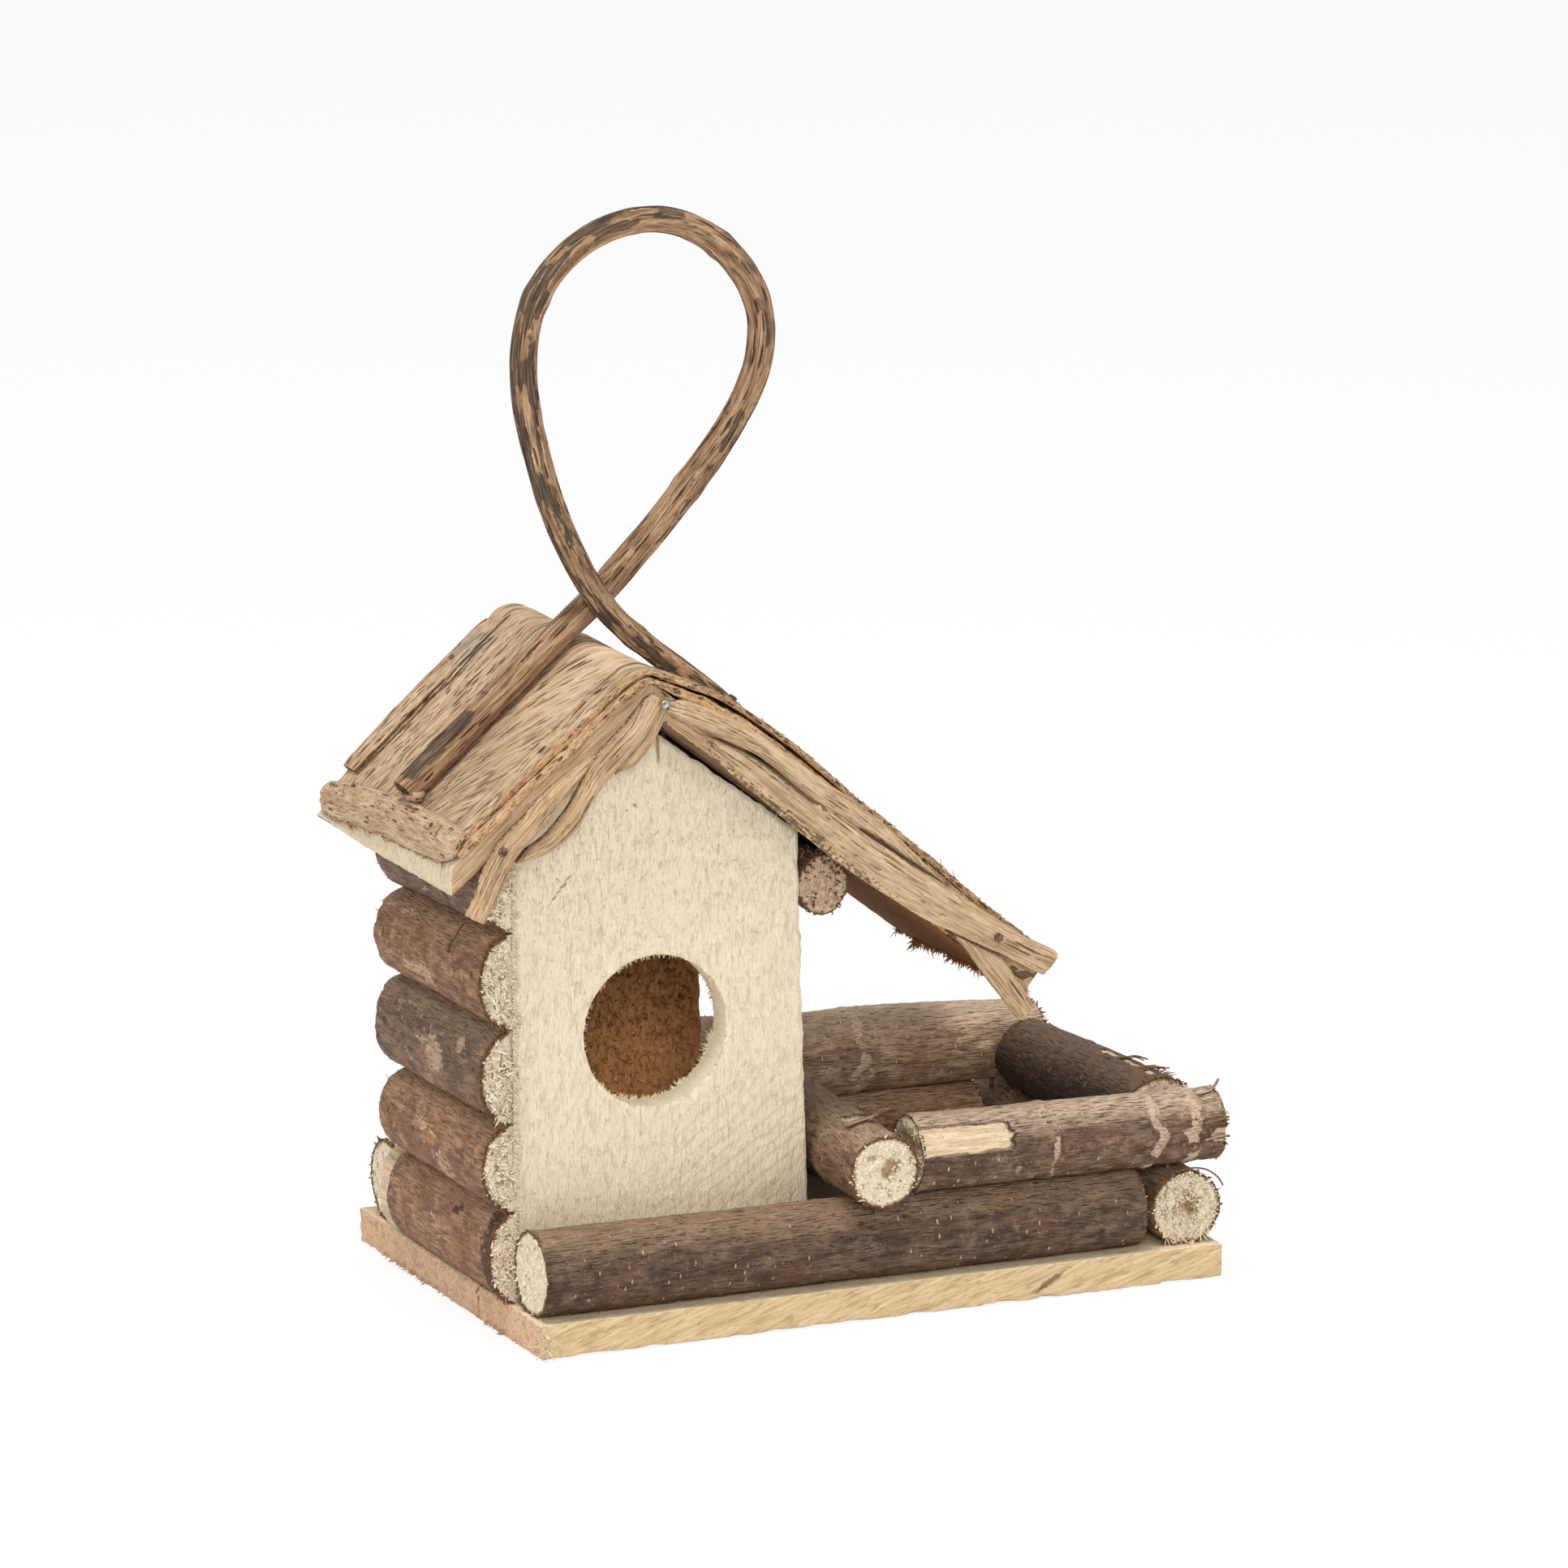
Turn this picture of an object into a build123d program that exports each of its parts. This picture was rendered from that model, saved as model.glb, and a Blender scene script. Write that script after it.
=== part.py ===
from build123d import *
import os
from math import atan2, cos, hypot, radians, sin, tan

os.makedirs("parts", exist_ok=True)

# Base board; the origin is the middle of its underside
base_length = 170.0
base_depth = 110.0
base_thickness = 8.0

# House
panel_thickness = 8.0
panel_setback = 19.5
house_depth = 67.0
panel_inset = 2.0
foot_width = 72.6
shoulder_width = 69.8
apex_ease = 0.8
hole_diameter = 35.0
hole_height = 67.8
hole_inset = 36.5

# Roof
ridge_inset = 32.0
ridge_height = 150.6
left_pitch = radians(39.0)
right_pitch = radians(37.8)
left_board_thickness = 5.2
right_board_thickness = 7.0
roof_front_overhang = 7.0
roof_depth = 80.5
eave_overhang = 17.7
right_board_length = 130.0
eave_skew = 6.5
ridge_round = 4.0
bark_thickness = 1.8
bark_spring = radians(32.0)
bark_lip = 1.2

# Bark strips on the left slope
strip_width = 5.0
strip_height = 2.4
rear_strip_width = 8.5
rear_strip_height = 1.0
strip_ridge_gap = 6.0

# Twigs on the front edge of the roof
twig_width = 4.8
twig_thickness = 3.0
twig_edge = 1.1

# Twig paths: place down the slope, lift above the board's top, and the radii of their bends.
# Places are in mm on the left slope and fractions of the board on the long right one.
left_gable_path = [(0.0, -3.6), (10.8, -7.1), (26.2, -10.7), (33.5, -11.2), (47.0, -9.4)]
left_gable_bends = [30.0, 20.0, 16.0]
left_hanging_path = [(13.5, -2.2), (37.8, -3.4), (50.6, -5.0), (67.3, -14.2)]
left_hanging_bends = [60.0, 20.0]
right_hanging_path = [(0.064, 0.4), (0.146, 3.5), (0.458, 3.6), (0.585, 2.5), (0.7, -0.2), (0.971, -10.3)]
right_hanging_bends = [20.0, 60.0, 40.0, 40.0]
right_gable_path = [(0.197, -1.4), (0.354, -1.5), (0.477, -1.6), (0.683, -1.2), (0.862, 0.4), (0.938, 1.5)]
right_gable_bends = [30.0, 30.0, 60.0, 60.0]

# Wall logs from the base up: height, bulge, distance short of the rear panel's back
wall_logs = [(20.7, 6.5, 0.0), (20.0, 8.0, 4.0), (21.5, 8.3, 2.5), (22.0, 8.3, 2.5), (22.6, 8.0, 1.5)]
wall_log_gap = 0.4

# Purlin
purlin_radius = 7.0
purlin_seat = 1.0
purlin_front_gap = 0.5

# Tray logs
log_seat = 0.5
log_ease = 0.3
lower_radius = 10.0
lower_tip_radius = 9.5
course_top = base_thickness + 2 * lower_tip_radius - log_seat
lower_inset = 1.2
right_log_radius = 9.0
right_log_inset = 7.7
right_log_length = 104.0
lower_gap = 2.2
cross_front_radius = 8.75
cross_rear_radius = 10.3
cross_front_overhang = 2.0
cross_rear_overhang = 8.0
cross_gap = 0.8
front_upper_radius = 9.4
front_upper_tip_radius = 8.6
front_upper_gap = 1.7
front_upper_reach = 9.6
rear_upper_radius = 10.4
rear_upper_tip_radius = 9.2
rear_upper_reach = 5.1
right_upper_radius = 9.9
right_upper_tip_radius = 8.9
right_upper_skew = 0.6

# Handle twig: sideways from the ridge, and down from the top of the loop
tail_radius = 3.45
thin_radius = 2.75
handle_sink = 0.4
tail_side = -9.1
thick_side = -3.3
thin_side = -10.2
strand_rise = 33.3
loop_right = 44.9
loop_left = 15.5
loop_height = 97.0
right_shoulder_drop = 37.4
left_shoulder_drop = 40.3
crossing_out = 7.9
crossing_drop = 69.2
thin_land = radians(0.4)
thin_reach = radians(4.0)
handle_bends = [200.0, 23.8, 29.1, 30.0, 73.8, 60.0, 69.0]

# Nails and brads
nail_radius = 0.8
nail_head_radius = 1.7
nail_head_height = 0.6
twig_head_radius = 1.1
brad_radius = 0.6
brad_sink = 0.4
nail_ease = 0.1
base_nail_length = 20.0
wall_brad_length = 18.0
roof_nail_length = 16.0
tack_length = 9.0
trim_nail_length = 14.0
handle_nail_length = 17.0
tray_brad_length = 28.0
left_roof_nails = (14.0, 30.0)
right_roof_nails = (16.0, 40.0)
rear_strip_tacks = (18.0, 42.0)
ridge_nail = (1.2, -5.8)
left_twig_nail = (50.5, -4.4)
right_twig_nail = (0.819, -0.9)
tail_nail = 24.0
thin_nail = radians(3.0)
upper_log_brads = (0.3, 0.85)
right_log_brads = (0.25, 0.75)
brad_clearance = 10.0

# Places that follow from the sizes above
base_left = -base_length / 2
base_front = -base_depth / 2
panel_left = base_left + panel_inset
panel_front = base_front + panel_setback
panel_rear = panel_front + house_depth
rear_inner = panel_rear - panel_thickness
foot_right = panel_left + foot_width
shoulder_right = panel_left + shoulder_width
ridge_x = base_left + ridge_inset
roof_front = panel_front - roof_front_overhang
roof_rear = roof_front + roof_depth
eave_x = panel_left - eave_overhang
bark_top = 2 * bark_thickness


def left_point(down, lift):
    """A point so far down the left slope from the ridge and so far above the board's top."""
    return (
        ridge_x - down * cos(left_pitch) - lift * sin(left_pitch),
        ridge_height - down * sin(left_pitch) + lift * cos(left_pitch),
    )


def right_point(down, lift):
    """A point so far down the right slope from the ridge and so far above the board's top."""
    return (
        ridge_x + down * cos(right_pitch) + lift * sin(right_pitch),
        ridge_height - down * sin(right_pitch) + lift * cos(right_pitch),
    )


def right_step(step):
    """A point of the right slope, its place given as a fraction of the board's length."""
    return right_point(step[0] * right_board_length, step[1])


def left_line(x, lift):
    """Height at x of the line that runs so far above the left board's top."""
    return ridge_height + lift / cos(left_pitch) - (ridge_x - x) * tan(left_pitch)


def right_line(x, lift):
    """Height at x of the line that runs so far above the right board's top."""
    return ridge_height + lift / cos(right_pitch) - (x - ridge_x) * tan(right_pitch)


def between(start, end, along):
    """The value so far along from start to end, as a fraction."""
    return start + (end - start) * along


def at_depth(point, y):
    """The point of the gable's plane, set at depth y."""
    return (point[0], y, point[1])


def from_rear(y):
    """Sketch plane facing the front at depth y, with the object's x and z as its axes."""
    return Plane.XZ.offset(-y)


# Panel outline: flat under the left board, a thin wedge of air under the right one
left_shoulder_z = left_line(panel_left, -left_board_thickness)
right_shoulder_z = right_line(shoulder_right, -right_board_thickness)
under_step = left_line(ridge_x, -left_board_thickness) - right_line(ridge_x, -right_board_thickness)
apex_x = ridge_x - under_step / (tan(left_pitch) + tan(right_pitch)) - apex_ease
panel_outline = [
    (panel_left, base_thickness),
    (foot_right, base_thickness),
    (shoulder_right, right_shoulder_z),
    (apex_x, left_line(apex_x, -left_board_thickness)),
    (panel_left, left_shoulder_z),
]
edge_lean = (foot_right - shoulder_right) / (right_shoulder_z - base_thickness)

# Ridge bend shared by the boards and both bark sheets
bend_x = ridge_x + ridge_round * (1 / cos(left_pitch) - 1 / cos(right_pitch)) / (
    tan(left_pitch) + tan(right_pitch)
)
bend_z = left_line(bend_x, -ridge_round)


def bend_point(angle, lift):
    """A point on the ridge bend, at an angle from straight up towards the right."""
    reach = ridge_round + lift
    return (bend_x + reach * sin(angle), bend_z + reach * cos(angle))


# Bow of the bark over the right board, from the ridge bend to the lower edge
bow_start = bend_point(bark_spring, 0)
bow_end = right_point(right_board_length + bark_lip, 0)
bow_chord = hypot(bow_end[0] - bow_start[0], bow_end[1] - bow_start[1])
bow_dip = atan2(bow_start[1] - bow_end[1], bow_end[0] - bow_start[0])
bow_last = 2 * bow_dip - bark_spring
bow_radius = bow_chord / (2 * sin(bow_dip - bark_spring))


def bow_point(angle, lift):
    """A point of the bowed bark whose surface dips by the angle, above the sheet's lower face."""
    reach = bow_radius + lift
    return (
        bow_start[0] - bow_radius * sin(bark_spring) + reach * sin(angle),
        bow_start[1] - bow_radius * cos(bark_spring) + reach * cos(angle),
    )


# Purlin axis: against the panels' right edges and under the right board
purlin_reach = purlin_radius - purlin_seat
purlin_z = (
    right_line(foot_right + edge_lean * base_thickness + purlin_reach, -right_board_thickness)
    - purlin_reach / cos(right_pitch)
) / (1 - edge_lean * tan(right_pitch))
purlin_x = foot_right - edge_lean * (purlin_z - base_thickness) + purlin_reach

# Tray log axes
front_log_y = panel_front - log_ease - lower_radius
rear_log_y = panel_rear + log_ease + lower_radius
lower_left = base_left + lower_inset
right_log_x = base_length / 2 - right_log_inset
lower_end = right_log_x - right_log_radius - lower_gap
cross_front_y = base_front - cross_front_overhang
cross_rear_y = rear_log_y + cross_rear_overhang
cross_left = foot_right - edge_lean * (course_top - base_thickness) + cross_gap
cross_front_x = cross_left + cross_front_radius
cross_rear_x = cross_left + cross_rear_radius
upper_left = cross_rear_x + cross_rear_radius + log_ease
front_upper_left = cross_front_x + cross_front_radius + front_upper_gap
upper_z = course_top - log_seat
front_upper_end = right_log_x + front_upper_reach
rear_upper_end = right_log_x + rear_upper_reach
right_course_top = base_thickness + 2 * right_log_radius - 2 * log_seat
right_upper_z = right_course_top - log_seat
front_side = between(
    front_upper_radius,
    front_upper_tip_radius,
    (lower_end - front_upper_left) / (front_upper_end - front_upper_left),
)
rear_side = between(
    rear_upper_radius,
    rear_upper_tip_radius,
    (lower_end - upper_left) / (rear_upper_end - upper_left),
)
right_upper_front = (right_log_x + right_upper_skew, front_log_y + front_side + log_ease)
right_upper_rear = (right_log_x - right_upper_skew, rear_log_y - rear_side - log_ease)

# Strips of bark on the left slope
strip_top = bark_top + strip_height
eave_down = (ridge_x - eave_x - bark_top * sin(left_pitch)) / cos(left_pitch)
eave_strip_mid = eave_down - strip_width / 2
rear_strip_y = roof_rear - rear_strip_width / 2

# Handle path: tail on the left slope, loop, thin end on the right slope
tail_lift = bark_top + tail_radius - handle_sink
thin_lift = bark_top + thin_radius - handle_sink
tail_start = eave_down - strip_width - log_ease
loop_top = ridge_height + loop_height
handle_path = [
    at_depth(left_point(tail_start, tail_lift), tail_side),
    at_depth(left_point(-strand_rise, tail_lift), thick_side),
    (ridge_x + loop_right, thick_side, loop_top - right_shoulder_drop),
    (ridge_x + loop_right, thick_side, loop_top),
    (ridge_x - loop_left, (thick_side + thin_side) / 2, loop_top),
    (ridge_x - loop_left, (thick_side + 3 * thin_side) / 4, loop_top - left_shoulder_drop),
    (ridge_x - crossing_out, thin_side, loop_top - crossing_drop),
    at_depth(bow_point(bark_spring + thin_land, thin_lift), thin_side),
    at_depth(bow_point(bark_spring + thin_reach, thin_lift), thin_side),
]

# Depths of the twigs: on the roof's front edge, and one twig further out
twig_back = roof_front - twig_thickness / 2
twig_front = twig_back - twig_thickness - log_ease
right_gable_depths = [twig_back, twig_back, twig_front, twig_front, twig_front, twig_front]


# Nail places: each is a plane at the head's seat whose normal points out of the wood
def into_base(x, y):
    return Plane(origin=(x, y, 0), x_dir=(1, 0, 0), z_dir=(0, 0, -1))


def into_left_slope(down, lift, y):
    origin = at_depth(left_point(down, lift), y)
    return Plane(origin=origin, x_dir=(0, 1, 0), z_dir=(-sin(left_pitch), 0, cos(left_pitch)))


def into_right_slope(down, lift, y):
    origin = at_depth(right_point(down, lift), y)
    return Plane(origin=origin, x_dir=(0, 1, 0), z_dir=(sin(right_pitch), 0, cos(right_pitch)))


def into_gable(point, y):
    return Plane(origin=at_depth(point, y), x_dir=(1, 0, 0), z_dir=(0, -1, 0))


def into_tray(x, y, z):
    return Plane(origin=(x, y, z - brad_sink), x_dir=(1, 0, 0), z_dir=(0, 0, 1))


panel_mids = [panel_front + panel_thickness / 2, rear_inner + panel_thickness / 2]
base_nail_places = [
    into_base(x, y)
    for y in panel_mids
    for x in (panel_left + foot_width / 5, foot_right - foot_width / 5)
]
front_brad_x = between(front_upper_left, front_upper_end, upper_log_brads[0])
rear_brad_x = between(upper_left, rear_upper_end, upper_log_brads[0])
base_nail_places += [
    into_base(x, y)
    for y, brad_x in ((front_log_y, front_brad_x), (rear_log_y, rear_brad_x))
    for x in (lower_left + base_length / 7, brad_x + brad_clearance)
]
base_nail_places += [into_base(right_log_x, y) for y in (-right_log_length / 4, right_log_length / 4)]

wall_feet = [base_thickness + wall_log_gap]
for log_height, log_bulge, log_short in wall_logs:
    wall_feet.append(wall_feet[-1] + log_height + wall_log_gap)
brad_depths = [panel_mids[0], rear_inner + panel_thickness / 4]
wall_brad_places = [
    Plane(
        origin=(panel_left - log[1] + brad_sink, y, foot + log[0] / 2),
        x_dir=(0, 1, 0),
        z_dir=(-1, 0, 0),
    )
    for foot, log in zip(wall_feet, wall_logs)
    for y in brad_depths
]
wall_brad_places += [
    Plane(
        origin=(purlin_x + purlin_radius - brad_sink, y, purlin_z),
        x_dir=(0, 1, 0),
        z_dir=(1, 0, 0),
    )
    for y in brad_depths
]

roof_nail_places = [into_left_slope(down, 0, y) for y in panel_mids for down in left_roof_nails]
roof_nail_places += [into_right_slope(down, 0, y) for y in panel_mids for down in right_roof_nails]

bark_tack_places = [
    into_left_slope(eave_strip_mid, strip_top - brad_sink, y)
    for y in (roof_front + roof_depth / 6, roof_rear - roof_depth / 5)
]
bark_tack_places += [
    into_left_slope(down, bark_top + rear_strip_height - brad_sink, rear_strip_y) for down in rear_strip_tacks
]

trim_nail_places = [
    into_gable(left_point(*ridge_nail), roof_front - twig_thickness),
    into_gable(left_point(*left_twig_nail), roof_front - twig_thickness),
    into_gable(right_step(right_twig_nail), twig_front - twig_thickness / 2),
]

tail_nail_y = between(tail_side, thick_side, (tail_start - tail_nail) / (tail_start + strand_rise))
thin_nail_dip = bark_spring + thin_nail
handle_nail_places = [
    into_left_slope(tail_nail, tail_lift + tail_radius, tail_nail_y),
    Plane(
        origin=at_depth(bow_point(thin_nail_dip, thin_lift + thin_radius), thin_side),
        x_dir=(0, 1, 0),
        z_dir=(sin(thin_nail_dip), 0, cos(thin_nail_dip)),
    ),
]


def upper_tops(start, end, start_radius, end_radius, y, places_along):
    """Brad places on top of an upper log that runs along the tray."""
    return [
        into_tray(between(start, end, t), y, upper_z + 2 * between(start_radius, end_radius, t))
        for t in places_along
    ]


tray_brad_places = [
    into_tray(cross_front_x, front_log_y, upper_z + 2 * cross_front_radius),
    into_tray(cross_rear_x, rear_log_y, upper_z + 2 * cross_rear_radius),
]
tray_brad_places += [
    into_tray(
        between(right_upper_front[0], right_upper_rear[0], t),
        between(right_upper_front[1], right_upper_rear[1], t),
        right_upper_z + 2 * between(right_upper_radius, right_upper_tip_radius, t),
    )
    for t in right_log_brads
]
tray_brad_places += upper_tops(
    front_upper_left, front_upper_end, front_upper_radius, front_upper_tip_radius, front_log_y, upper_log_brads
)
tray_brad_places += upper_tops(
    upper_left, rear_upper_end, rear_upper_radius, rear_upper_tip_radius, rear_log_y, upper_log_brads
)


def headless(places, length, ease):
    """Brads driven below the surface, or with an ease the holes they sit in."""
    with BuildPart() as group:
        with Locations(*places):
            Cylinder(brad_radius + ease, length, align=(Align.CENTER, Align.CENTER, Align.MAX))
    return group.part


def flush(places, length, ease):
    """Nails whose heads are sunk level with the wood, or with an ease their holes."""
    with BuildPart() as group:
        with Locations(*places):
            Cylinder(nail_radius + ease, length, align=(Align.CENTER, Align.CENTER, Align.MAX))
            Cylinder(
                nail_head_radius + ease, nail_head_height, align=(Align.CENTER, Align.CENTER, Align.MAX)
            )
    return group.part


def proud(places, length, ease):
    """Nails whose heads stand on the twigs, or with an ease their holes."""
    with BuildPart() as group:
        with Locations(*places):
            Cylinder(brad_radius + ease, length, align=(Align.CENTER, Align.CENTER, Align.MAX))
            Cylinder(
                twig_head_radius + ease, nail_head_height, align=(Align.CENTER, Align.CENTER, Align.MIN)
            )
    return group.part


base_holes = flush(base_nail_places, base_nail_length, nail_ease)
wall_holes = headless(wall_brad_places, wall_brad_length, nail_ease)
roof_holes = flush(roof_nail_places, roof_nail_length, nail_ease)
tack_holes = headless(bark_tack_places, tack_length, nail_ease)
trim_holes = proud(trim_nail_places, trim_nail_length, nail_ease)
handle_holes = proud(handle_nail_places, handle_nail_length, nail_ease)
tray_holes = headless(tray_brad_places, tray_brad_length, nail_ease)


def tapered_log(start, start_radius, end, end_radius):
    """Round log that narrows from one sawn end to the other."""
    along = Vector(*end) - Vector(*start)
    with BuildPart() as log:
        with BuildSketch(Plane(origin=start, z_dir=along)):
            Circle(start_radius)
        with BuildSketch(Plane(origin=end, z_dir=along)):
            Circle(end_radius)
        loft()
    return log.part


def split_twig(points, bends):
    """Flat-backed split twig along a bent path."""
    with BuildPart() as twig:
        with BuildLine() as path:
            FilletPolyline(*points, radius=bends)
        with BuildSketch(Plane(origin=path.line @ 0, x_dir=(0, 1, 0), z_dir=path.line % 0)):
            RectangleRounded(twig_thickness, twig_width, twig_edge)
        sweep()
    return twig.part


def bark_sheet(under, over):
    """Bark sheet between two lifts above the boards: flat on the left, bowed on the right."""
    with BuildPart() as sheet:
        with BuildSketch(from_rear(roof_rear)):
            with BuildLine():
                for lift in (under, over):
                    Line((eave_x, left_line(eave_x, lift)), bend_point(-left_pitch, lift))
                    ThreePointArc(
                        bend_point(-left_pitch, lift), bend_point(0, lift), bend_point(bark_spring, lift)
                    )
                    ThreePointArc(
                        bow_point(bark_spring, lift), bow_point(bow_dip, lift), bow_point(bow_last, lift)
                    )
                Line((eave_x, left_line(eave_x, under)), (eave_x, left_line(eave_x, over)))
                Line(bow_point(bow_last, under), bow_point(bow_last, over))
            make_face()
        extrude(amount=roof_depth)
        split(bisect_by=skew_cut, keep=Keep.BOTTOM)
    return sheet.part


# Lower edge of the right slope, sawn a little askew: shorter at the front
skew_turn = atan2(eave_skew, roof_depth)
skew_cut = Plane(
    origin=at_depth(right_point(right_board_length + bark_lip - eave_skew, 0), roof_front),
    x_dir=(sin(right_pitch), 0, cos(right_pitch)),
    z_dir=(cos(right_pitch) * cos(skew_turn), -sin(skew_turn), -sin(right_pitch) * cos(skew_turn)),
)
board_cut = skew_cut.offset(-bark_lip)

with BuildPart() as base_board:
    with Locations((0, 0, base_thickness / 2)):
        Box(base_length, base_depth, base_thickness)
    add(base_holes, mode=Mode.SUBTRACT)

with BuildPart() as front_panel:
    with BuildSketch(from_rear(panel_front + panel_thickness)):
        with BuildLine():
            Polyline(*panel_outline, close=True)
        make_face()
        with Locations((base_left + hole_inset, hole_height)):
            Circle(hole_diameter / 2, mode=Mode.SUBTRACT)
    extrude(amount=panel_thickness)
    for holes in (base_holes, wall_holes, roof_holes):
        add(holes, mode=Mode.SUBTRACT)

with BuildPart() as rear_panel:
    with BuildSketch(from_rear(panel_rear)):
        with BuildLine():
            Polyline(*panel_outline, close=True)
        make_face()
    extrude(amount=panel_thickness)
    for holes in (base_holes, wall_holes, roof_holes):
        add(holes, mode=Mode.SUBTRACT)


def wall_log(foot, height, bulge, short):
    """Half-round log with its flat side on the panels' left edges."""
    with BuildPart() as log:
        with BuildSketch(from_rear(panel_rear - short)):
            with BuildLine():
                Line((panel_left, foot), (panel_left, foot + height))
                ThreePointArc(
                    (panel_left, foot), (panel_left - bulge, foot + height / 2), (panel_left, foot + height)
                )
            make_face()
        extrude(amount=house_depth - short)
        add(wall_holes, mode=Mode.SUBTRACT)
    return log.part


wall = [wall_log(foot, *log) for foot, log in zip(wall_feet, wall_logs)]

with BuildPart() as left_roof_board:
    with BuildSketch(from_rear(roof_rear)):
        with BuildLine():
            Polyline(
                bend_point(-left_pitch, 0),
                (eave_x, left_line(eave_x, 0)),
                (eave_x, left_line(eave_x, -left_board_thickness)),
                (bend_x, left_line(bend_x, -left_board_thickness)),
                bend_point(0, 0),
            )
            ThreePointArc(bend_point(0, 0), bend_point(-left_pitch / 2, 0), bend_point(-left_pitch, 0))
        make_face()
    extrude(amount=roof_depth)
    for holes in (roof_holes, tack_holes, trim_holes, handle_holes):
        add(holes, mode=Mode.SUBTRACT)

with BuildPart() as right_roof_board:
    with BuildSketch(from_rear(roof_rear)):
        with BuildLine():
            Polyline(
                bend_point(right_pitch, 0),
                right_point(right_board_length, 0),
                right_point(right_board_length, -right_board_thickness),
                (bend_x, right_line(bend_x, -right_board_thickness)),
                bend_point(0, 0),
            )
            ThreePointArc(bend_point(0, 0), bend_point(right_pitch / 2, 0), bend_point(right_pitch, 0))
        make_face()
    extrude(amount=roof_depth)
    split(bisect_by=board_cut, keep=Keep.BOTTOM)
    for holes in (roof_holes, trim_holes, handle_holes):
        add(holes, mode=Mode.SUBTRACT)

lower_sheet = bark_sheet(0, bark_thickness)
with BuildPart() as lower_bark:
    add(lower_sheet)
    for holes in (tack_holes, handle_holes):
        add(holes, mode=Mode.SUBTRACT)

top_sheet = bark_sheet(bark_thickness, bark_top)
with BuildPart() as top_bark:
    add(top_sheet)
    for holes in (tack_holes, handle_holes):
        add(holes, mode=Mode.SUBTRACT)

with BuildPart() as eave_strip:
    with BuildSketch(from_rear(roof_rear)):
        with BuildLine():
            Line(left_point(eave_down, bark_top), left_point(eave_down - strip_width, bark_top))
            ThreePointArc(
                left_point(eave_down, bark_top),
                left_point(eave_strip_mid, strip_top),
                left_point(eave_down - strip_width, bark_top),
            )
        make_face()
    extrude(amount=roof_depth)
    add(tack_holes, mode=Mode.SUBTRACT)

rear_strip_start = eave_down - strip_width - log_ease
rear_strip_plane = Plane(
    origin=at_depth(left_point(rear_strip_start, bark_top), rear_strip_y),
    x_dir=(0, 1, 0),
    z_dir=(cos(left_pitch), 0, sin(left_pitch)),
)
with BuildPart() as rear_strip:
    with BuildSketch(rear_strip_plane):
        with BuildLine():
            Line((-rear_strip_width / 2, 0), (rear_strip_width / 2, 0))
            ThreePointArc((-rear_strip_width / 2, 0), (0, rear_strip_height), (rear_strip_width / 2, 0))
        make_face()
    extrude(amount=rear_strip_start - strip_ridge_gap)
    add(tack_holes, mode=Mode.SUBTRACT)

left_gable_points = [at_depth(left_point(*step), twig_back) for step in left_gable_path]
left_gable_body = split_twig(left_gable_points, left_gable_bends)
with BuildPart() as left_gable_twig:
    add(left_gable_body)
    add(trim_holes, mode=Mode.SUBTRACT)

left_hanging_points = [at_depth(left_point(*step), twig_back) for step in left_hanging_path]
left_hanging_body = split_twig(left_hanging_points, left_hanging_bends)
with BuildPart() as left_hanging_twig:
    add(left_hanging_body)
    add(trim_holes, mode=Mode.SUBTRACT)

right_hanging_points = [at_depth(right_step(step), twig_back) for step in right_hanging_path]
right_hanging_body = split_twig(right_hanging_points, right_hanging_bends)
with BuildPart() as right_hanging_twig:
    add(right_hanging_body)

right_gable_points = [
    at_depth(right_step(step), y) for step, y in zip(right_gable_path, right_gable_depths)
]
right_gable_body = split_twig(right_gable_points, right_gable_bends)
with BuildPart() as right_gable_twig:
    add(right_gable_body)
    add(trim_holes, mode=Mode.SUBTRACT)

with BuildPart() as handle:
    with BuildLine() as handle_line:
        FilletPolyline(*handle_path, radius=handle_bends)
    with BuildSketch(Plane(origin=handle_line.line @ 0, z_dir=handle_line.line % 0)):
        Circle(tail_radius)
    with BuildSketch(Plane(origin=handle_line.line @ 1, z_dir=handle_line.line % 1)):
        Circle(thin_radius)
    sweep(multisection=True)
    add(top_sheet, mode=Mode.SUBTRACT)
    add(handle_holes, mode=Mode.SUBTRACT)

purlin_log = tapered_log(
    (purlin_x, panel_front + purlin_front_gap, purlin_z),
    purlin_radius,
    (purlin_x, panel_rear, purlin_z),
    purlin_radius,
)
with BuildPart() as purlin:
    add(purlin_log)
    split(
        bisect_by=Plane(origin=(foot_right, 0, base_thickness), z_dir=(1, 0, edge_lean)),
        keep=Keep.TOP,
    )
    split(
        bisect_by=Plane(
            origin=at_depth(right_point(0, -right_board_thickness), 0),
            z_dir=(sin(right_pitch), 0, cos(right_pitch)),
        ),
        keep=Keep.BOTTOM,
    )
    add(wall_holes, mode=Mode.SUBTRACT)

lower_z = base_thickness - log_seat
on_base = Plane.XY.offset(base_thickness)
on_course = Plane.XY.offset(course_top)
on_right_course = Plane.XY.offset(right_course_top)
seat_cut_height = lower_radius
seat_cut_length = lower_end - cross_left
seat_cut_middle = (lower_end + cross_left) / 2

front_lower_log = tapered_log(
    (lower_left, front_log_y, lower_z + lower_radius),
    lower_radius,
    (lower_end, front_log_y, lower_z + lower_tip_radius),
    lower_tip_radius,
)
with BuildPart() as tray_front_lower:
    add(front_lower_log)
    split(bisect_by=on_base, keep=Keep.TOP)
    with Locations((seat_cut_middle, front_log_y, course_top + seat_cut_height / 2)):
        Box(seat_cut_length, 2 * lower_radius, seat_cut_height, mode=Mode.SUBTRACT)
    for holes in (base_holes, tray_holes):
        add(holes, mode=Mode.SUBTRACT)

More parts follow.
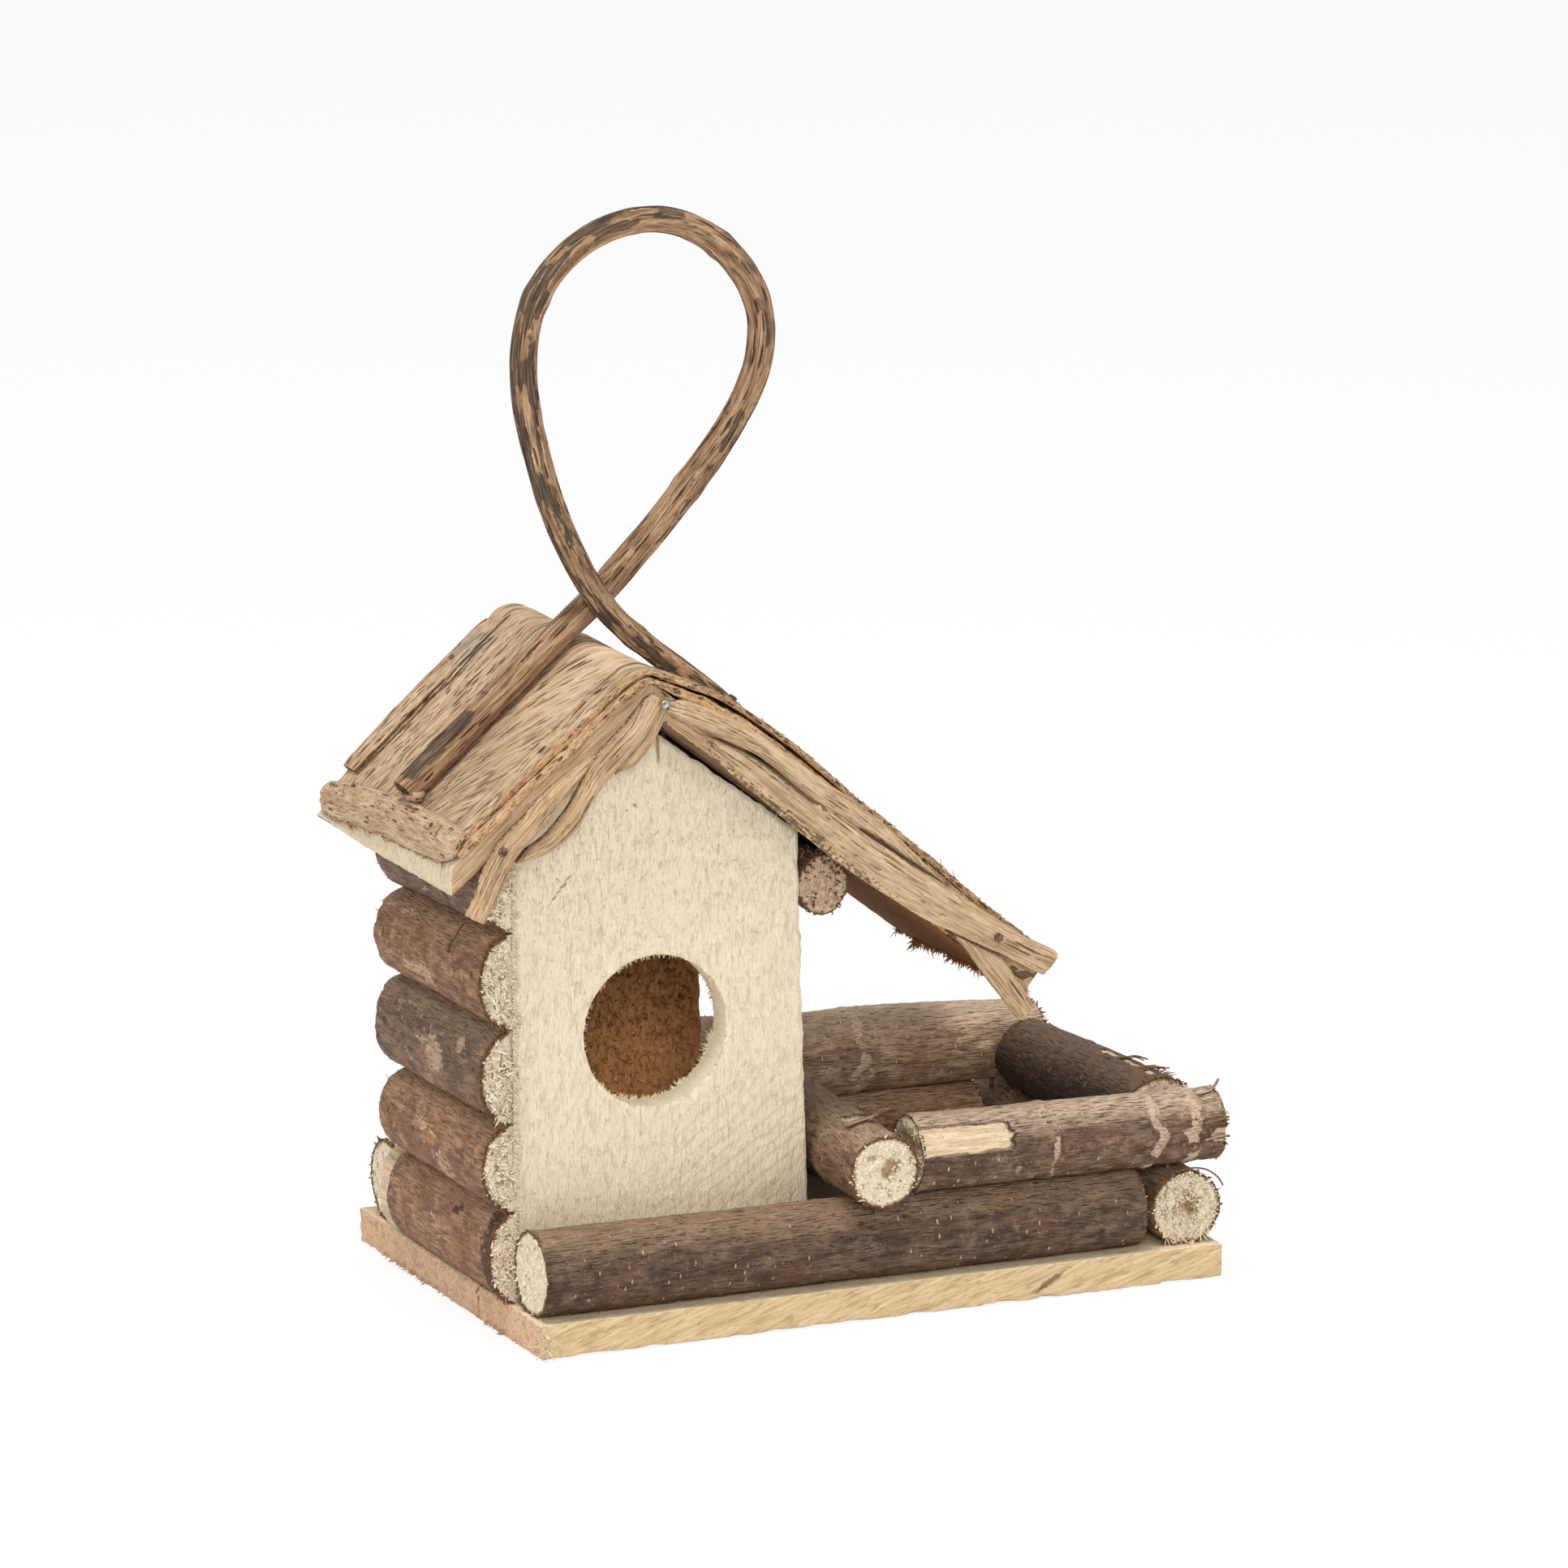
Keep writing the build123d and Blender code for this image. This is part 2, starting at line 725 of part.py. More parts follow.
rear_lower_log = tapered_log(
    (lower_left, rear_log_y, lower_z + lower_radius),
    lower_radius,
    (lower_end, rear_log_y, lower_z + lower_tip_radius),
    lower_tip_radius,
)
with BuildPart() as tray_rear_lower:
    add(rear_lower_log)
    split(bisect_by=on_base, keep=Keep.TOP)
    with Locations((seat_cut_middle, rear_log_y, course_top + seat_cut_height / 2)):
        Box(seat_cut_length, 2 * lower_radius, seat_cut_height, mode=Mode.SUBTRACT)
    for holes in (base_holes, tray_holes):
        add(holes, mode=Mode.SUBTRACT)

right_lower_log = tapered_log(
    (right_log_x, -right_log_length / 2, lower_z + right_log_radius),
    right_log_radius,
    (right_log_x, right_log_length / 2, lower_z + right_log_radius),
    right_log_radius,
)
with BuildPart() as tray_right_lower:
    add(right_lower_log)
    split(bisect_by=on_base, keep=Keep.TOP)
    split(bisect_by=on_right_course, keep=Keep.BOTTOM)
    for holes in (base_holes, tray_holes):
        add(holes, mode=Mode.SUBTRACT)

cross_log = tapered_log(
    (cross_front_x, cross_front_y, upper_z + cross_front_radius),
    cross_front_radius,
    (cross_rear_x, cross_rear_y, upper_z + cross_rear_radius),
    cross_rear_radius,
)
with BuildPart() as tray_cross_log:
    add(cross_log)
    split(bisect_by=on_course, keep=Keep.TOP)
    add(tray_holes, mode=Mode.SUBTRACT)

front_upper_log = tapered_log(
    (front_upper_left, front_log_y, upper_z + front_upper_radius),
    front_upper_radius,
    (front_upper_end, front_log_y, upper_z + front_upper_tip_radius),
    front_upper_tip_radius,
)
with BuildPart() as tray_front_upper:
    add(front_upper_log)
    split(bisect_by=on_course, keep=Keep.TOP)
    add(tray_holes, mode=Mode.SUBTRACT)

rear_upper_log = tapered_log(
    (upper_left, rear_log_y, upper_z + rear_upper_radius),
    rear_upper_radius,
    (rear_upper_end, rear_log_y, upper_z + rear_upper_tip_radius),
    rear_upper_tip_radius,
)
with BuildPart() as tray_rear_upper:
    add(rear_upper_log)
    split(bisect_by=on_course, keep=Keep.TOP)
    add(tray_holes, mode=Mode.SUBTRACT)

right_upper_log = tapered_log(
    (*right_upper_front, right_upper_z + right_upper_radius),
    right_upper_radius,
    (*right_upper_rear, right_upper_z + right_upper_tip_radius),
    right_upper_tip_radius,
)
with BuildPart() as tray_right_upper:
    add(right_upper_log)
    split(bisect_by=on_right_course, keep=Keep.TOP)
    add(tray_holes, mode=Mode.SUBTRACT)

pieces = {
    "base_board": base_board.part,
    "front_panel": front_panel.part,
    "rear_panel": rear_panel.part,
    "left_roof_board": left_roof_board.part,
    "right_roof_board": right_roof_board.part,
    "lower_bark": lower_bark.part,
    "top_bark": top_bark.part,
    "eave_strip": eave_strip.part,
    "rear_strip": rear_strip.part,
    "left_gable_twig": left_gable_twig.part,
    "left_hanging_twig": left_hanging_twig.part,
    "right_gable_twig": right_gable_twig.part,
    "right_hanging_twig": right_hanging_twig.part,
    "handle": handle.part,
    "purlin": purlin.part,
    "tray_front_lower": tray_front_lower.part,
    "tray_rear_lower": tray_rear_lower.part,
    "tray_right_lower": tray_right_lower.part,
    "tray_cross_log": tray_cross_log.part,
    "tray_front_upper": tray_front_upper.part,
    "tray_rear_upper": tray_rear_upper.part,
    "tray_right_upper": tray_right_upper.part,
    "base_nails": flush(base_nail_places, base_nail_length, 0),
    "wall_brads": headless(wall_brad_places, wall_brad_length, 0),
    "roof_nails": flush(roof_nail_places, roof_nail_length, 0),
    "bark_tacks": headless(bark_tack_places, tack_length, 0),
    "trim_nails": proud(trim_nail_places, trim_nail_length, 0),
    "handle_nails": proud(handle_nail_places, handle_nail_length, 0),
    "tray_brads": headless(tray_brad_places, tray_brad_length, 0),
}
for number, log in enumerate(wall, start=1):
    pieces[f"wall_log_{number}"] = log

for name, piece in pieces.items():
    piece.label = name
    export_step(piece, f"parts/{name}.step")
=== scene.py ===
import math

import bpy
import numpy as np
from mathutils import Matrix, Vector


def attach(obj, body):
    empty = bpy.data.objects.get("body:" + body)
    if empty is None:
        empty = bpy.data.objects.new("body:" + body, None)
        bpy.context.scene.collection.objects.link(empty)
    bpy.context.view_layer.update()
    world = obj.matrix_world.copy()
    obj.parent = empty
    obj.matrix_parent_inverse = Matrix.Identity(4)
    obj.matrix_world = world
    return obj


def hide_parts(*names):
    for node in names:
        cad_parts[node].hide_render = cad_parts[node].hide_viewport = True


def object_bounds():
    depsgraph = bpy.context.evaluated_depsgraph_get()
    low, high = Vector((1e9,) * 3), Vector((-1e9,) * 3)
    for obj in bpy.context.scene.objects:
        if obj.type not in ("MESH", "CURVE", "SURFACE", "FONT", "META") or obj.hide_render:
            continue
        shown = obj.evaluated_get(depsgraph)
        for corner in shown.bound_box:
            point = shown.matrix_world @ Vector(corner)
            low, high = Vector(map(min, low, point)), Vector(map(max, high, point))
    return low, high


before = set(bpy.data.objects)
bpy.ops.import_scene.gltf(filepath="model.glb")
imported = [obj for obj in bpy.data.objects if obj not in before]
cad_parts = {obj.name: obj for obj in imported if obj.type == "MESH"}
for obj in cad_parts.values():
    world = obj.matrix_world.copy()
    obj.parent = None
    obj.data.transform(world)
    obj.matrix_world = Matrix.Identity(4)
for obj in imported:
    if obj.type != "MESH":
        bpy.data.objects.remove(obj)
cad_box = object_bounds()

# Where the house stands, in millimetres.
RIDGE = np.array([-53.0, 150.6])
LEFT_DIP, RIGHT_DIP, SPRING = math.radians(39.0), math.radians(37.8), math.radians(32.0)
BEND_MIDDLE, BEND_RADIUS = np.array([-52.95, 145.50]), 4.0
ROOF_FRONT, ROOF_REAR = -42.5, 38.0
EAVE_X, EAVE_DOWN = -100.7, 58.46
LEFT_THICK, RIGHT_THICK = 5.2, 7.0
RIGHT_LONG, EAVE_SKEW, BARK_LIP = 130.0, 6.5, 1.2
SHEET = 1.8
WALL_X, HOUSE_FRONT, HOUSE_REAR = -83.0, -35.5, 31.5
PANEL_THICK = 8.0
HOLE_X, HOLE_Z, HOLE_RADIUS = -48.5, 67.8, 17.5
BASE_LONG, BASE_DEEP, BASE_HIGH = 170.0, 110.0, 8.0
ON_BASE = 8.02  # where the lowest tray logs' undersides are
FULL, THIRD = 6.2832, 2.0944  # a whole turn and a third of one, in radians
LOG_STEP = 0.62  # between the points of the logs' nets
ROOM_LOW = np.array(cad_box[0]) * 1000 + 0.02
ROOM_HIGH = np.array(cad_box[1]) * 1000 - 0.02


# Unevenness, drawn from fixed seeds.

def scatter(ix, iy, iz, seed):
    """A fixed value between -1 and 1 for each whole-numbered spot."""
    h = (ix * 374761393 + iy * 668265263 + iz * 1103515245 + seed * 144665) & 0xFFFFFFFF
    h = ((h ^ (h >> 13)) * 1274126177) & 0xFFFFFFFF
    h = ((h ^ (h >> 16)) * 668265263) & 0xFFFFFFFF
    return ((h ^ (h >> 15)) & 0xFFFFFF) / 8388607.5 - 1.0


def rough(x, y, z, seed, layers=1):
    """Smooth unevenness between about -1 and 1; each layer is half as high and twice as fine."""
    x, y, z = np.broadcast_arrays(np.asarray(x, float), y, z)
    total, weight = np.zeros(x.shape), 0.0
    for layer in range(layers):
        fine = 2.0 ** layer
        spots = [a * fine for a in (x, y, z)]
        whole = [np.floor(a).astype(np.int64) for a in spots]
        part = [a - b for a, b in zip(spots, whole)]
        part = [t * t * (3 - 2 * t) for t in part]
        value = np.zeros(x.shape)
        for corner in range(8):
            step = [(corner >> k) & 1 for k in range(3)]
            share = np.ones(x.shape)
            for t, d in zip(part, step):
                share = share * (t if d else 1 - t)
            value += share * scatter(*(w + d for w, d in zip(whole, step)), seed + 17 * layer)
        total += value / fine
        weight += 1 / fine
    return 1.4 * total / weight


def ease(low, high, x):
    t = np.clip((x - low) / (high - low), 0, 1)
    return t * t * (3 - 2 * t)


def unit(v):
    v = np.asarray(v, float)
    return v / np.maximum(np.linalg.norm(v, axis=-1, keepdims=True), 1e-9)


def columns(*parts):
    """Points put together from their parts, each an array or one number for all."""
    return np.stack(np.broadcast_arrays(*parts), -1)


def grid(a, b):
    return np.meshgrid(a, b, indexing="ij")


def all_round(count):
    return np.linspace(0, math.tau, count, endpoint=False)


def run_along(line):
    """How far each spot of a line is from its start."""
    return np.concatenate([[0], np.cumsum(np.linalg.norm(np.diff(line, axis=0), axis=1))])


def paint(marks, slot, share):
    marks[..., slot] = np.maximum(marks[..., slot], share)


class Piece:
    """One piece of the birdhouse, gathered from strips of points in millimetres."""

    def __init__(self):
        self.points, self.grain, self.marks = [], [], []
        self.quads, self.tris, self.quad_looks, self.tri_looks = [], [], [], []
        self.count = 0

    def add(self, points, grain, marks, quads, tris, look):
        self.points.append(points)
        self.grain.append(grain)
        self.marks.append(marks)
        self.quads.append(quads + self.count)
        self.tris.append(tris + self.count)
        self.quad_looks.append(np.full(len(quads), look, np.int32))
        self.tri_looks.append(np.full(len(tris), look, np.int32))
        self.count += len(points)

    def strip(self, points, grain, facing, look, marks=None, loop=False, hub=None):
        """A net of points whose faces look along facing; loop joins its sides and hub closes its end."""
        rows, width = points.shape[:2]
        facing = np.broadcast_to(facing, points.shape).reshape(-1, 3)
        index = np.arange(rows * width).reshape(rows, width)
        if loop:
            index = np.concatenate([index, index[:, :1]], 1)
        quads = columns(index[:-1, :-1], index[1:, :-1], index[1:, 1:], index[:-1, 1:]).reshape(-1, 4)
        flat = points.reshape(-1, 3)
        normal = np.cross(flat[quads[:, 2]] - flat[quads[:, 0]], flat[quads[:, 3]] - flat[quads[:, 1]])
        turn = (normal * facing[quads[:, 0]]).sum() < 0
        tris = np.zeros((0, 3), np.int64)
        grain = np.broadcast_to(grain, points.shape).reshape(-1, 3)
        marks = (np.zeros_like(flat) if marks is None
                 else np.broadcast_to(marks, points.shape).reshape(-1, 3))
        if hub is not None:
            last = index[-1]
            tris = columns(last[:-1], len(flat), last[1:])
            flat = np.concatenate([flat, [hub]])
            grain = np.concatenate([grain, [grain[-width:].mean(0)]])
            marks = np.concatenate([marks, [marks[-width:].mean(0)]])
        if turn:
            quads, tris = quads[:, ::-1], tris[:, ::-1]
        self.add(flat, grain, marks, quads, tris, look)

    def make(self, name, slot, looks, node):
        """The piece as an object that stands in for a node of the solids."""
        points = np.clip(np.concatenate(self.points), ROOM_LOW, ROOM_HIGH) / 1000
        quads, tris = np.concatenate(self.quads), np.concatenate(self.tris)
        mesh = bpy.data.meshes.new(name)
        mesh.vertices.add(len(points))
        mesh.vertices.foreach_set("co", points.ravel().astype(np.float32))
        mesh.loops.add(quads.size + tris.size)
        mesh.loops.foreach_set("vertex_index",
                               np.concatenate([quads.ravel(), tris.ravel()]).astype(np.int32))
        mesh.polygons.add(len(quads) + len(tris))
        starts = np.concatenate([np.arange(len(quads)) * 4, quads.size + np.arange(len(tris)) * 3])
        mesh.polygons.foreach_set("loop_start", starts.astype(np.int32))
        picks = np.concatenate(self.quad_looks + self.tri_looks).astype(np.int32)
        mesh.polygons.foreach_set("material_index", picks)
        mesh.polygons.foreach_set("use_smooth", np.ones(len(picks), bool))
        mesh.update(calc_edges=True)
        for label, values in (("grain", self.grain), ("marks", self.marks)):
            layer = mesh.attributes.new(label, "FLOAT_VECTOR", "POINT")
            layer.data.foreach_set("vector", np.concatenate(values).ravel().astype(np.float32))
        for look in looks:
            mesh.materials.append(look)
        mesh.validate()
        thing = bpy.data.objects.new(name, mesh)
        bpy.context.scene.collection.objects.link(thing)
        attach(thing, "root")
        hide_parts(node)


# Shapes shared by several pieces.

def ticks(length, step, edge):
    """Places along an edge, closer together near its ends so that a worn corner can round over."""
    edge = min(edge, 0.45 * length)
    count = max(1, int(round((length - 2 * edge) / step)))
    inner = np.linspace(edge, length - edge, count + 1)
    return np.concatenate([[0, 0.25 * edge, 0.6 * edge], inner,
                           [length - 0.6 * edge, length - 0.25 * edge, length]])


def slab(piece, size, place, step, worn, nap, seed, looks, marks=None, grain=None):
    """A board with worn corners: place(u, v, w) says where each spot of it goes."""
    size = np.array(size, float)
    places = [ticks(s, step, 1.5 * worn) for s in size]
    for axis in range(3):
        a, b = [k for k in range(3) if k != axis]
        for side in (0, 1):
            first, second = grid(places[a], places[b])
            flat = np.empty(first.shape + (3,))
            flat[..., a], flat[..., b], flat[..., axis] = first, second, size[axis] * side
            core = np.clip(flat, worn, size - worn)
            spot = core + unit(flat - core) * worn
            for k in range(3):
                spot[..., k] += nap * rough(*(flat[..., j] / 1.1 for j in range(3)), seed + 7 * k, 2)
            out = spot.copy()
            out[..., axis] += 0.02 if side else -0.02
            here = place(*np.moveaxis(spot, -1, 0))
            lines = flat if grain is None else grain(*np.moveaxis(flat, -1, 0))
            mark = None if marks is None else marks(*np.moveaxis(flat, -1, 0))
            piece.strip(here, lines, place(*np.moveaxis(out, -1, 0)) - here, looks[2 * axis + side], mark)


def slivers(piece, roots, ways, lengths, widths, seed, look, curl, grain=None):
    """Loose fibres and splinters: thin three-sided slivers that taper and curl."""
    roots, ways = np.asarray(roots, float), unit(ways)
    count = len(roots)
    draw = np.random.default_rng(seed)
    side = unit(np.cross(ways, draw.normal(size=(count, 3))))
    up = np.cross(ways, side)
    bend = draw.normal(size=(count, 3)) * curl
    lengths, widths = np.broadcast_to(lengths, count), np.broadcast_to(widths, count)
    rings = []
    for t, wide in ((0.0, 1.0), (0.45, 0.85), (0.8, 0.5)):
        middle = roots + (ways * t + bend * t * t * 0.5) * lengths[:, None]
        for turn in (0, THIRD, 2 * THIRD):
            around = side * math.cos(turn) + up * math.sin(turn)
            rings.append(middle + around * (widths * wide)[:, None] * 0.5)
    rings.append(roots + (ways + bend * 0.5) * lengths[:, None])
    points = np.stack(rings, 1)
    first = (np.arange(count) * 10)[:, None]
    quads = [[3 * k + j, 3 * k + (j + 1) % 3, 3 * k + 3 + (j + 1) % 3, 3 * k + 3 + j]
             for k in (0, 1) for j in range(3)]
    tris = [[6 + j, 6 + (j + 1) % 3, 9] for j in range(3)] + [[2, 1, 0]]
    quads = (first[:, :, None] + np.array(quads)[None]).reshape(-1, 4)
    tris = (first[:, :, None] + np.array(tris)[None]).reshape(-1, 3)
    flat = points.reshape(-1, 3)
    lines = flat if grain is None else np.repeat(grain, 10, 0)
    piece.add(flat, lines, np.zeros_like(flat), quads, tris, look)


def spray(piece, draw, roots, ways, long, wide, seed, look, curl, grain=None):
    """Slivers whose lengths and widths are drawn between two limits."""
    lengths = draw.uniform(*long, len(roots))
    widths = draw.uniform(*wide, len(roots))
    slivers(piece, roots, ways, lengths, widths, seed, look, curl, grain)


def outward(draw, count, aside, ahead, rise, out=-1.0):
    """Ways that stick out to the front or the rear, with the limits or the spread of each part."""
    return columns(draw.normal(*aside, count), out * draw.uniform(*ahead, count), draw.normal(*rise, count))


def shred(piece, spots, wide, thick, seed, look):
    """A loose strip of bark: thin, ragged and tapering to its tip."""
    line, far = smooth_line(spots, 0.4)
    tangent = unit(np.gradient(line, axis=0))
    side = unit(np.cross(tangent, (0, 0.2, 1.0)))
    up = np.cross(side, tangent)
    s, a = grid(far, all_round(12))
    size = (np.sqrt(np.clip(1 - (s / far[-1]) ** 2.5, 0.02, 1))
            * (1 + 0.25 * rough(s / 1.4, np.sign(np.cos(a)), 0, seed, 2)))
    across, lift = wide / 2 * size * np.cos(a), thick / 2 * np.sin(a)
    points = line[:, None] + side[:, None] * across[..., None] + up[:, None] * lift[..., None]
    piece.strip(points, columns(s, across, lift), points - line[:, None], look, None, True,
                points[-1].mean(0))
    cut_end(piece, points[0], -tangent[0], look, 0.0, columns(across[0], lift[0]), seed, 2, 0.0)


def part_way(p, q, start, end, s):
    """The spot between two points that s has reached on its way from start to end."""
    return p * (end - s) / (end - start) + q * (s - start) / (end - start)


def even_line(line, far, even):
    return columns(*[np.interp(even, far, part) for part in line.T])


def smooth_line(points, step):
    """An even line that passes smoothly through given points."""
    points = np.asarray(points, float)
    ends = np.concatenate([[2 * points[0] - points[1]], points, [2 * points[-1] - points[-2]]])
    gaps = np.concatenate([[0], np.cumsum(np.sqrt(np.linalg.norm(np.diff(ends, axis=0), axis=1)))])
    line = []
    for k in range(1, len(ends) - 2):
        p, t = ends[k - 1:k + 3], gaps[k - 1:k + 3]
        for s in np.linspace(t[1], t[2], 24, endpoint=False):
            a = [part_way(p[j], p[j + 1], t[j], t[j + 1], s) for j in range(3)]
            b = [part_way(a[j], a[j + 1], t[j], t[j + 2], s) for j in range(2)]
            line.append(part_way(b[0], b[1], t[1], t[2], s))
    line = np.array(line + [points[-1]])
    far = run_along(line)
    even = np.linspace(0, far[-1], max(3, int(round(far[-1] / step)) + 1))
    return even_line(line, far, even), even


def loop_line(points, count):
    """A closed smooth outline through given corners."""
    points = np.asarray(points, float)
    turned = np.concatenate([points[-2:], points, points[:3]])
    line, _ = smooth_line(turned, 0.02)
    first = np.argmin(np.linalg.norm(line - points[0], axis=1)[:len(line) // 2])
    last = len(line) // 2 + np.argmin(np.linalg.norm(line - points[0], axis=1)[len(line) // 2:])
    line = line[first:last]
    far = run_along(line)
    even = np.linspace(0, far[-1], count, endpoint=False)
    return even_line(line, far, even)


def cut_end(piece, ring, out, look, along, cross, seed, rings, fuzz, dome=0.0, hollow=None):
    """A sawn end inside a ring of points; its first mark is how far each spot is from the bark."""
    centre = ring.mean(0)
    share = np.linspace(1, 0, rings + 1)[:-1]
    radius = np.linalg.norm(ring - centre, axis=1).mean()
    points = centre + (ring - centre)[None] * share[:, None, None]
    middle = cross.mean(0)
    lines = middle + (cross - middle)[None] * share[:, None, None]
    inside = 1 - share ** 5
    chewed = rough(lines[..., 0] / 1.3, lines[..., 1] / 1.3, along, seed, 3)
    depth = fuzz * (chewed - 0.3) + dome * (1 - share[:, None] ** 2)
    bowl = np.zeros_like(chewed)
    if hollow:
        aside = lines - middle - np.array(hollow[:2])
        off = np.hypot(aside[..., 0], aside[..., 1]) / hollow[2]
        bowl = np.exp(-(off * (1 + 0.4 * chewed)) ** 4)
        depth = depth - hollow[3] * bowl
    points = points + np.asarray(out) * (depth * inside[:, None])[..., None]
    grain = np.concatenate([np.full(lines.shape[:2] + (1,), along), lines], -1)
    marks = np.zeros_like(grain)
    marks[..., 0] = ((1 - share) * radius)[:, None]
    marks[..., 1] = 0.66 * bowl
    marks[..., 2] = ease(-0.15, -0.75, chewed) * min(0.75, 0.35 + fuzz)
    piece.strip(points, grain, np.asarray(out, float), look, marks, True, points[-1].mean(0))


def slope_spot(dip, way, down, lift):
    """A spot of a roof slope, so far down from the ridge and so far off the board."""
    x = RIDGE[0] + way * down * math.cos(dip) + way * lift * math.sin(dip)
    return columns(x, RIDGE[1] - down * math.sin(dip) + lift * math.cos(dip))


def left_spot(down, lift):
    return slope_spot(LEFT_DIP, -1.0, down, lift)


def right_spot(down, lift):
    return slope_spot(RIGHT_DIP, 1.0, down, lift)


def rear_sag(down, y):
    """How far the left slope's rear edge hangs lower than its front."""
    return 2.9 * ease(-12.0, 38.0, y) * np.clip(down / EAVE_DOWN, 0, 1.1) ** 1.3


def with_depth(spot, y):
    return columns(spot[..., 0], y + 0 * spot[..., 0], spot[..., 1])


# The bark sheet's run: flat up the left slope, round the ridge, then bowed down the right slope.
BEND_DOWN = 3.176
FLAT_RUN = EAVE_DOWN - BEND_DOWN
BEND_RUN = (LEFT_DIP + SPRING) * BEND_RADIUS
BOW_START = BEND_MIDDLE + BEND_RADIUS * np.array([math.sin(SPRING), math.cos(SPRING)])
BOW_END = right_spot(np.array(RIGHT_LONG + BARK_LIP), np.array(0.0))
BOW_CHORD = np.linalg.norm(BOW_END - BOW_START)
BOW_DIP = math.atan2(BOW_START[1] - BOW_END[1], BOW_END[0] - BOW_START[0])
BOW_RADIUS = BOW_CHORD / (2 * math.sin(BOW_DIP - SPRING))
BOW_MIDDLE = BOW_START - BOW_RADIUS * np.array([math.sin(SPRING), math.cos(SPRING)])
BOW_RUN = 2 * (BOW_DIP - SPRING) * BOW_RADIUS


def bark_spot(run, y, lift):
    """A spot of the bark: run is the way from the left eave over the ridge to the right eave."""
    down = np.clip(EAVE_DOWN - run, BEND_DOWN, None)
    flat = left_spot(down, lift - rear_sag(down - BEND_DOWN, y))
    turn = -LEFT_DIP + np.clip(run - FLAT_RUN, 0, BEND_RUN) / BEND_RADIUS
    bend = BEND_MIDDLE + (BEND_RADIUS + lift)[..., None] * columns(np.sin(turn), np.cos(turn))
    far = np.clip(run - FLAT_RUN - BEND_RUN, 0, None)
    swing = SPRING + far / BOW_RADIUS
    rise = np.interp(far, [0, 18, 38, 64, 100, 126, 140], [0, 0.7, 0.9, -0.3, -1.3, -0.2, 0])
    swell = np.interp(far, [0, 6, 16, 28, 58], [0, 1.1, 2.1, 1.8, 0]) * ease(-21, -36, y)
    rise = rise + swell * np.clip(lift / SHEET, 0, 1)
    bow = BOW_MIDDLE + (BOW_RADIUS + lift + rise)[..., None] * columns(np.sin(swing), np.cos(swing))
    spot = np.where((run < FLAT_RUN)[..., None], flat, np.where((far > 0)[..., None], bow, bend))
    return with_depth(spot, y)


# Finishes.

def shade(r, g, b):
    """A colour as it looks on the object, made linear for the shader."""
    lin = [(c / 255 / 12.92) if c <= 10 else ((c / 255 + 0.055) / 1.055) ** 2.4 for c in (r, g, b)]
    return (*lin, 1.0)


def put(tree, kind, inputs=None, **settings):
    node = tree.nodes.new(kind)
    for key, value in settings.items():
        setattr(node, key, value)
    for key, value in (inputs or {}).items():
        if isinstance(value, bpy.types.NodeSocket):
            tree.links.new(value, node.inputs[key])
        else:
            node.inputs[key].default_value = value
    return node


def sums(tree, operation, a, b=0.0):
    return put(tree, "ShaderNodeMath", {0: a, 1: b}, operation=operation).outputs[0]


def blend(tree, share, a, b):
    return put(tree, "ShaderNodeMix", {0: share, 6: a, 7: b}, data_type="RGBA").outputs[2]


def between(tree, value, low, high, to_low=0.0, to_high=1.0):
    inputs = {"Value": value, "From Min": low, "From Max": high, "To Min": to_low, "To Max": to_high}
    return put(tree, "ShaderNodeMapRange", inputs, interpolation_type="SMOOTHSTEP").outputs[0]


def one_over(tree, value):
    return sums(tree, "DIVIDE", 1.0, value)


def spread(tree, vector, along, across):
    """A vector scaled along the fibres and across them."""
    factors = put(tree, "ShaderNodeCombineXYZ", {0: along, 1: across, 2: across}).outputs[0]
    return put(tree, "ShaderNodeVectorMath", {0: vector, 1: factors}, operation="MULTIPLY").outputs[0]


def grainy(tree, vector, scale, detail, roughness=0.55, distortion=0.0):
    inputs = {"Vector": vector, "Scale": scale, "Detail": detail, "Roughness": roughness,
              "Distortion": distortion}
    return put(tree, "ShaderNodeTexNoise", inputs).outputs[0]


def new_group(name, inputs, outputs):
    tree = bpy.data.node_groups.new(name, "ShaderNodeTree")
    for label, value in inputs.items():
        kind = "NodeSocketVector" if value is None else "NodeSocketFloat"
        socket = tree.interface.new_socket(label, in_out="INPUT", socket_type=kind)
        if value is not None:
            socket.default_value = value
    for label in outputs:
        tree.interface.new_socket(label, in_out="OUTPUT", socket_type="NodeSocketFloat")
    return tree, put(tree, "NodeGroupInput").outputs, put(tree, "NodeGroupOutput").inputs


def streaks_group():
    """Long fibres: Streak is the broad run of them, Fine the single threads."""
    inputs = {"Grain": None, "Long": 12.0, "Wide": 1.0}
    tree, given, result = new_group("fibre_streaks", inputs, ["Streak", "Fine"])
    for label, divide, detail in (("Streak", 1.0, 3.0), ("Fine", 0.5, 2.0)):
        along = one_over(tree, sums(tree, "MULTIPLY", given["Long"], divide ** 0.5))
        across = one_over(tree, sums(tree, "MULTIPLY", given["Wide"], divide))
        value = grainy(tree, spread(tree, given["Grain"], along, across), 1.0, detail)
        tree.links.new(value, result[label])
    return tree


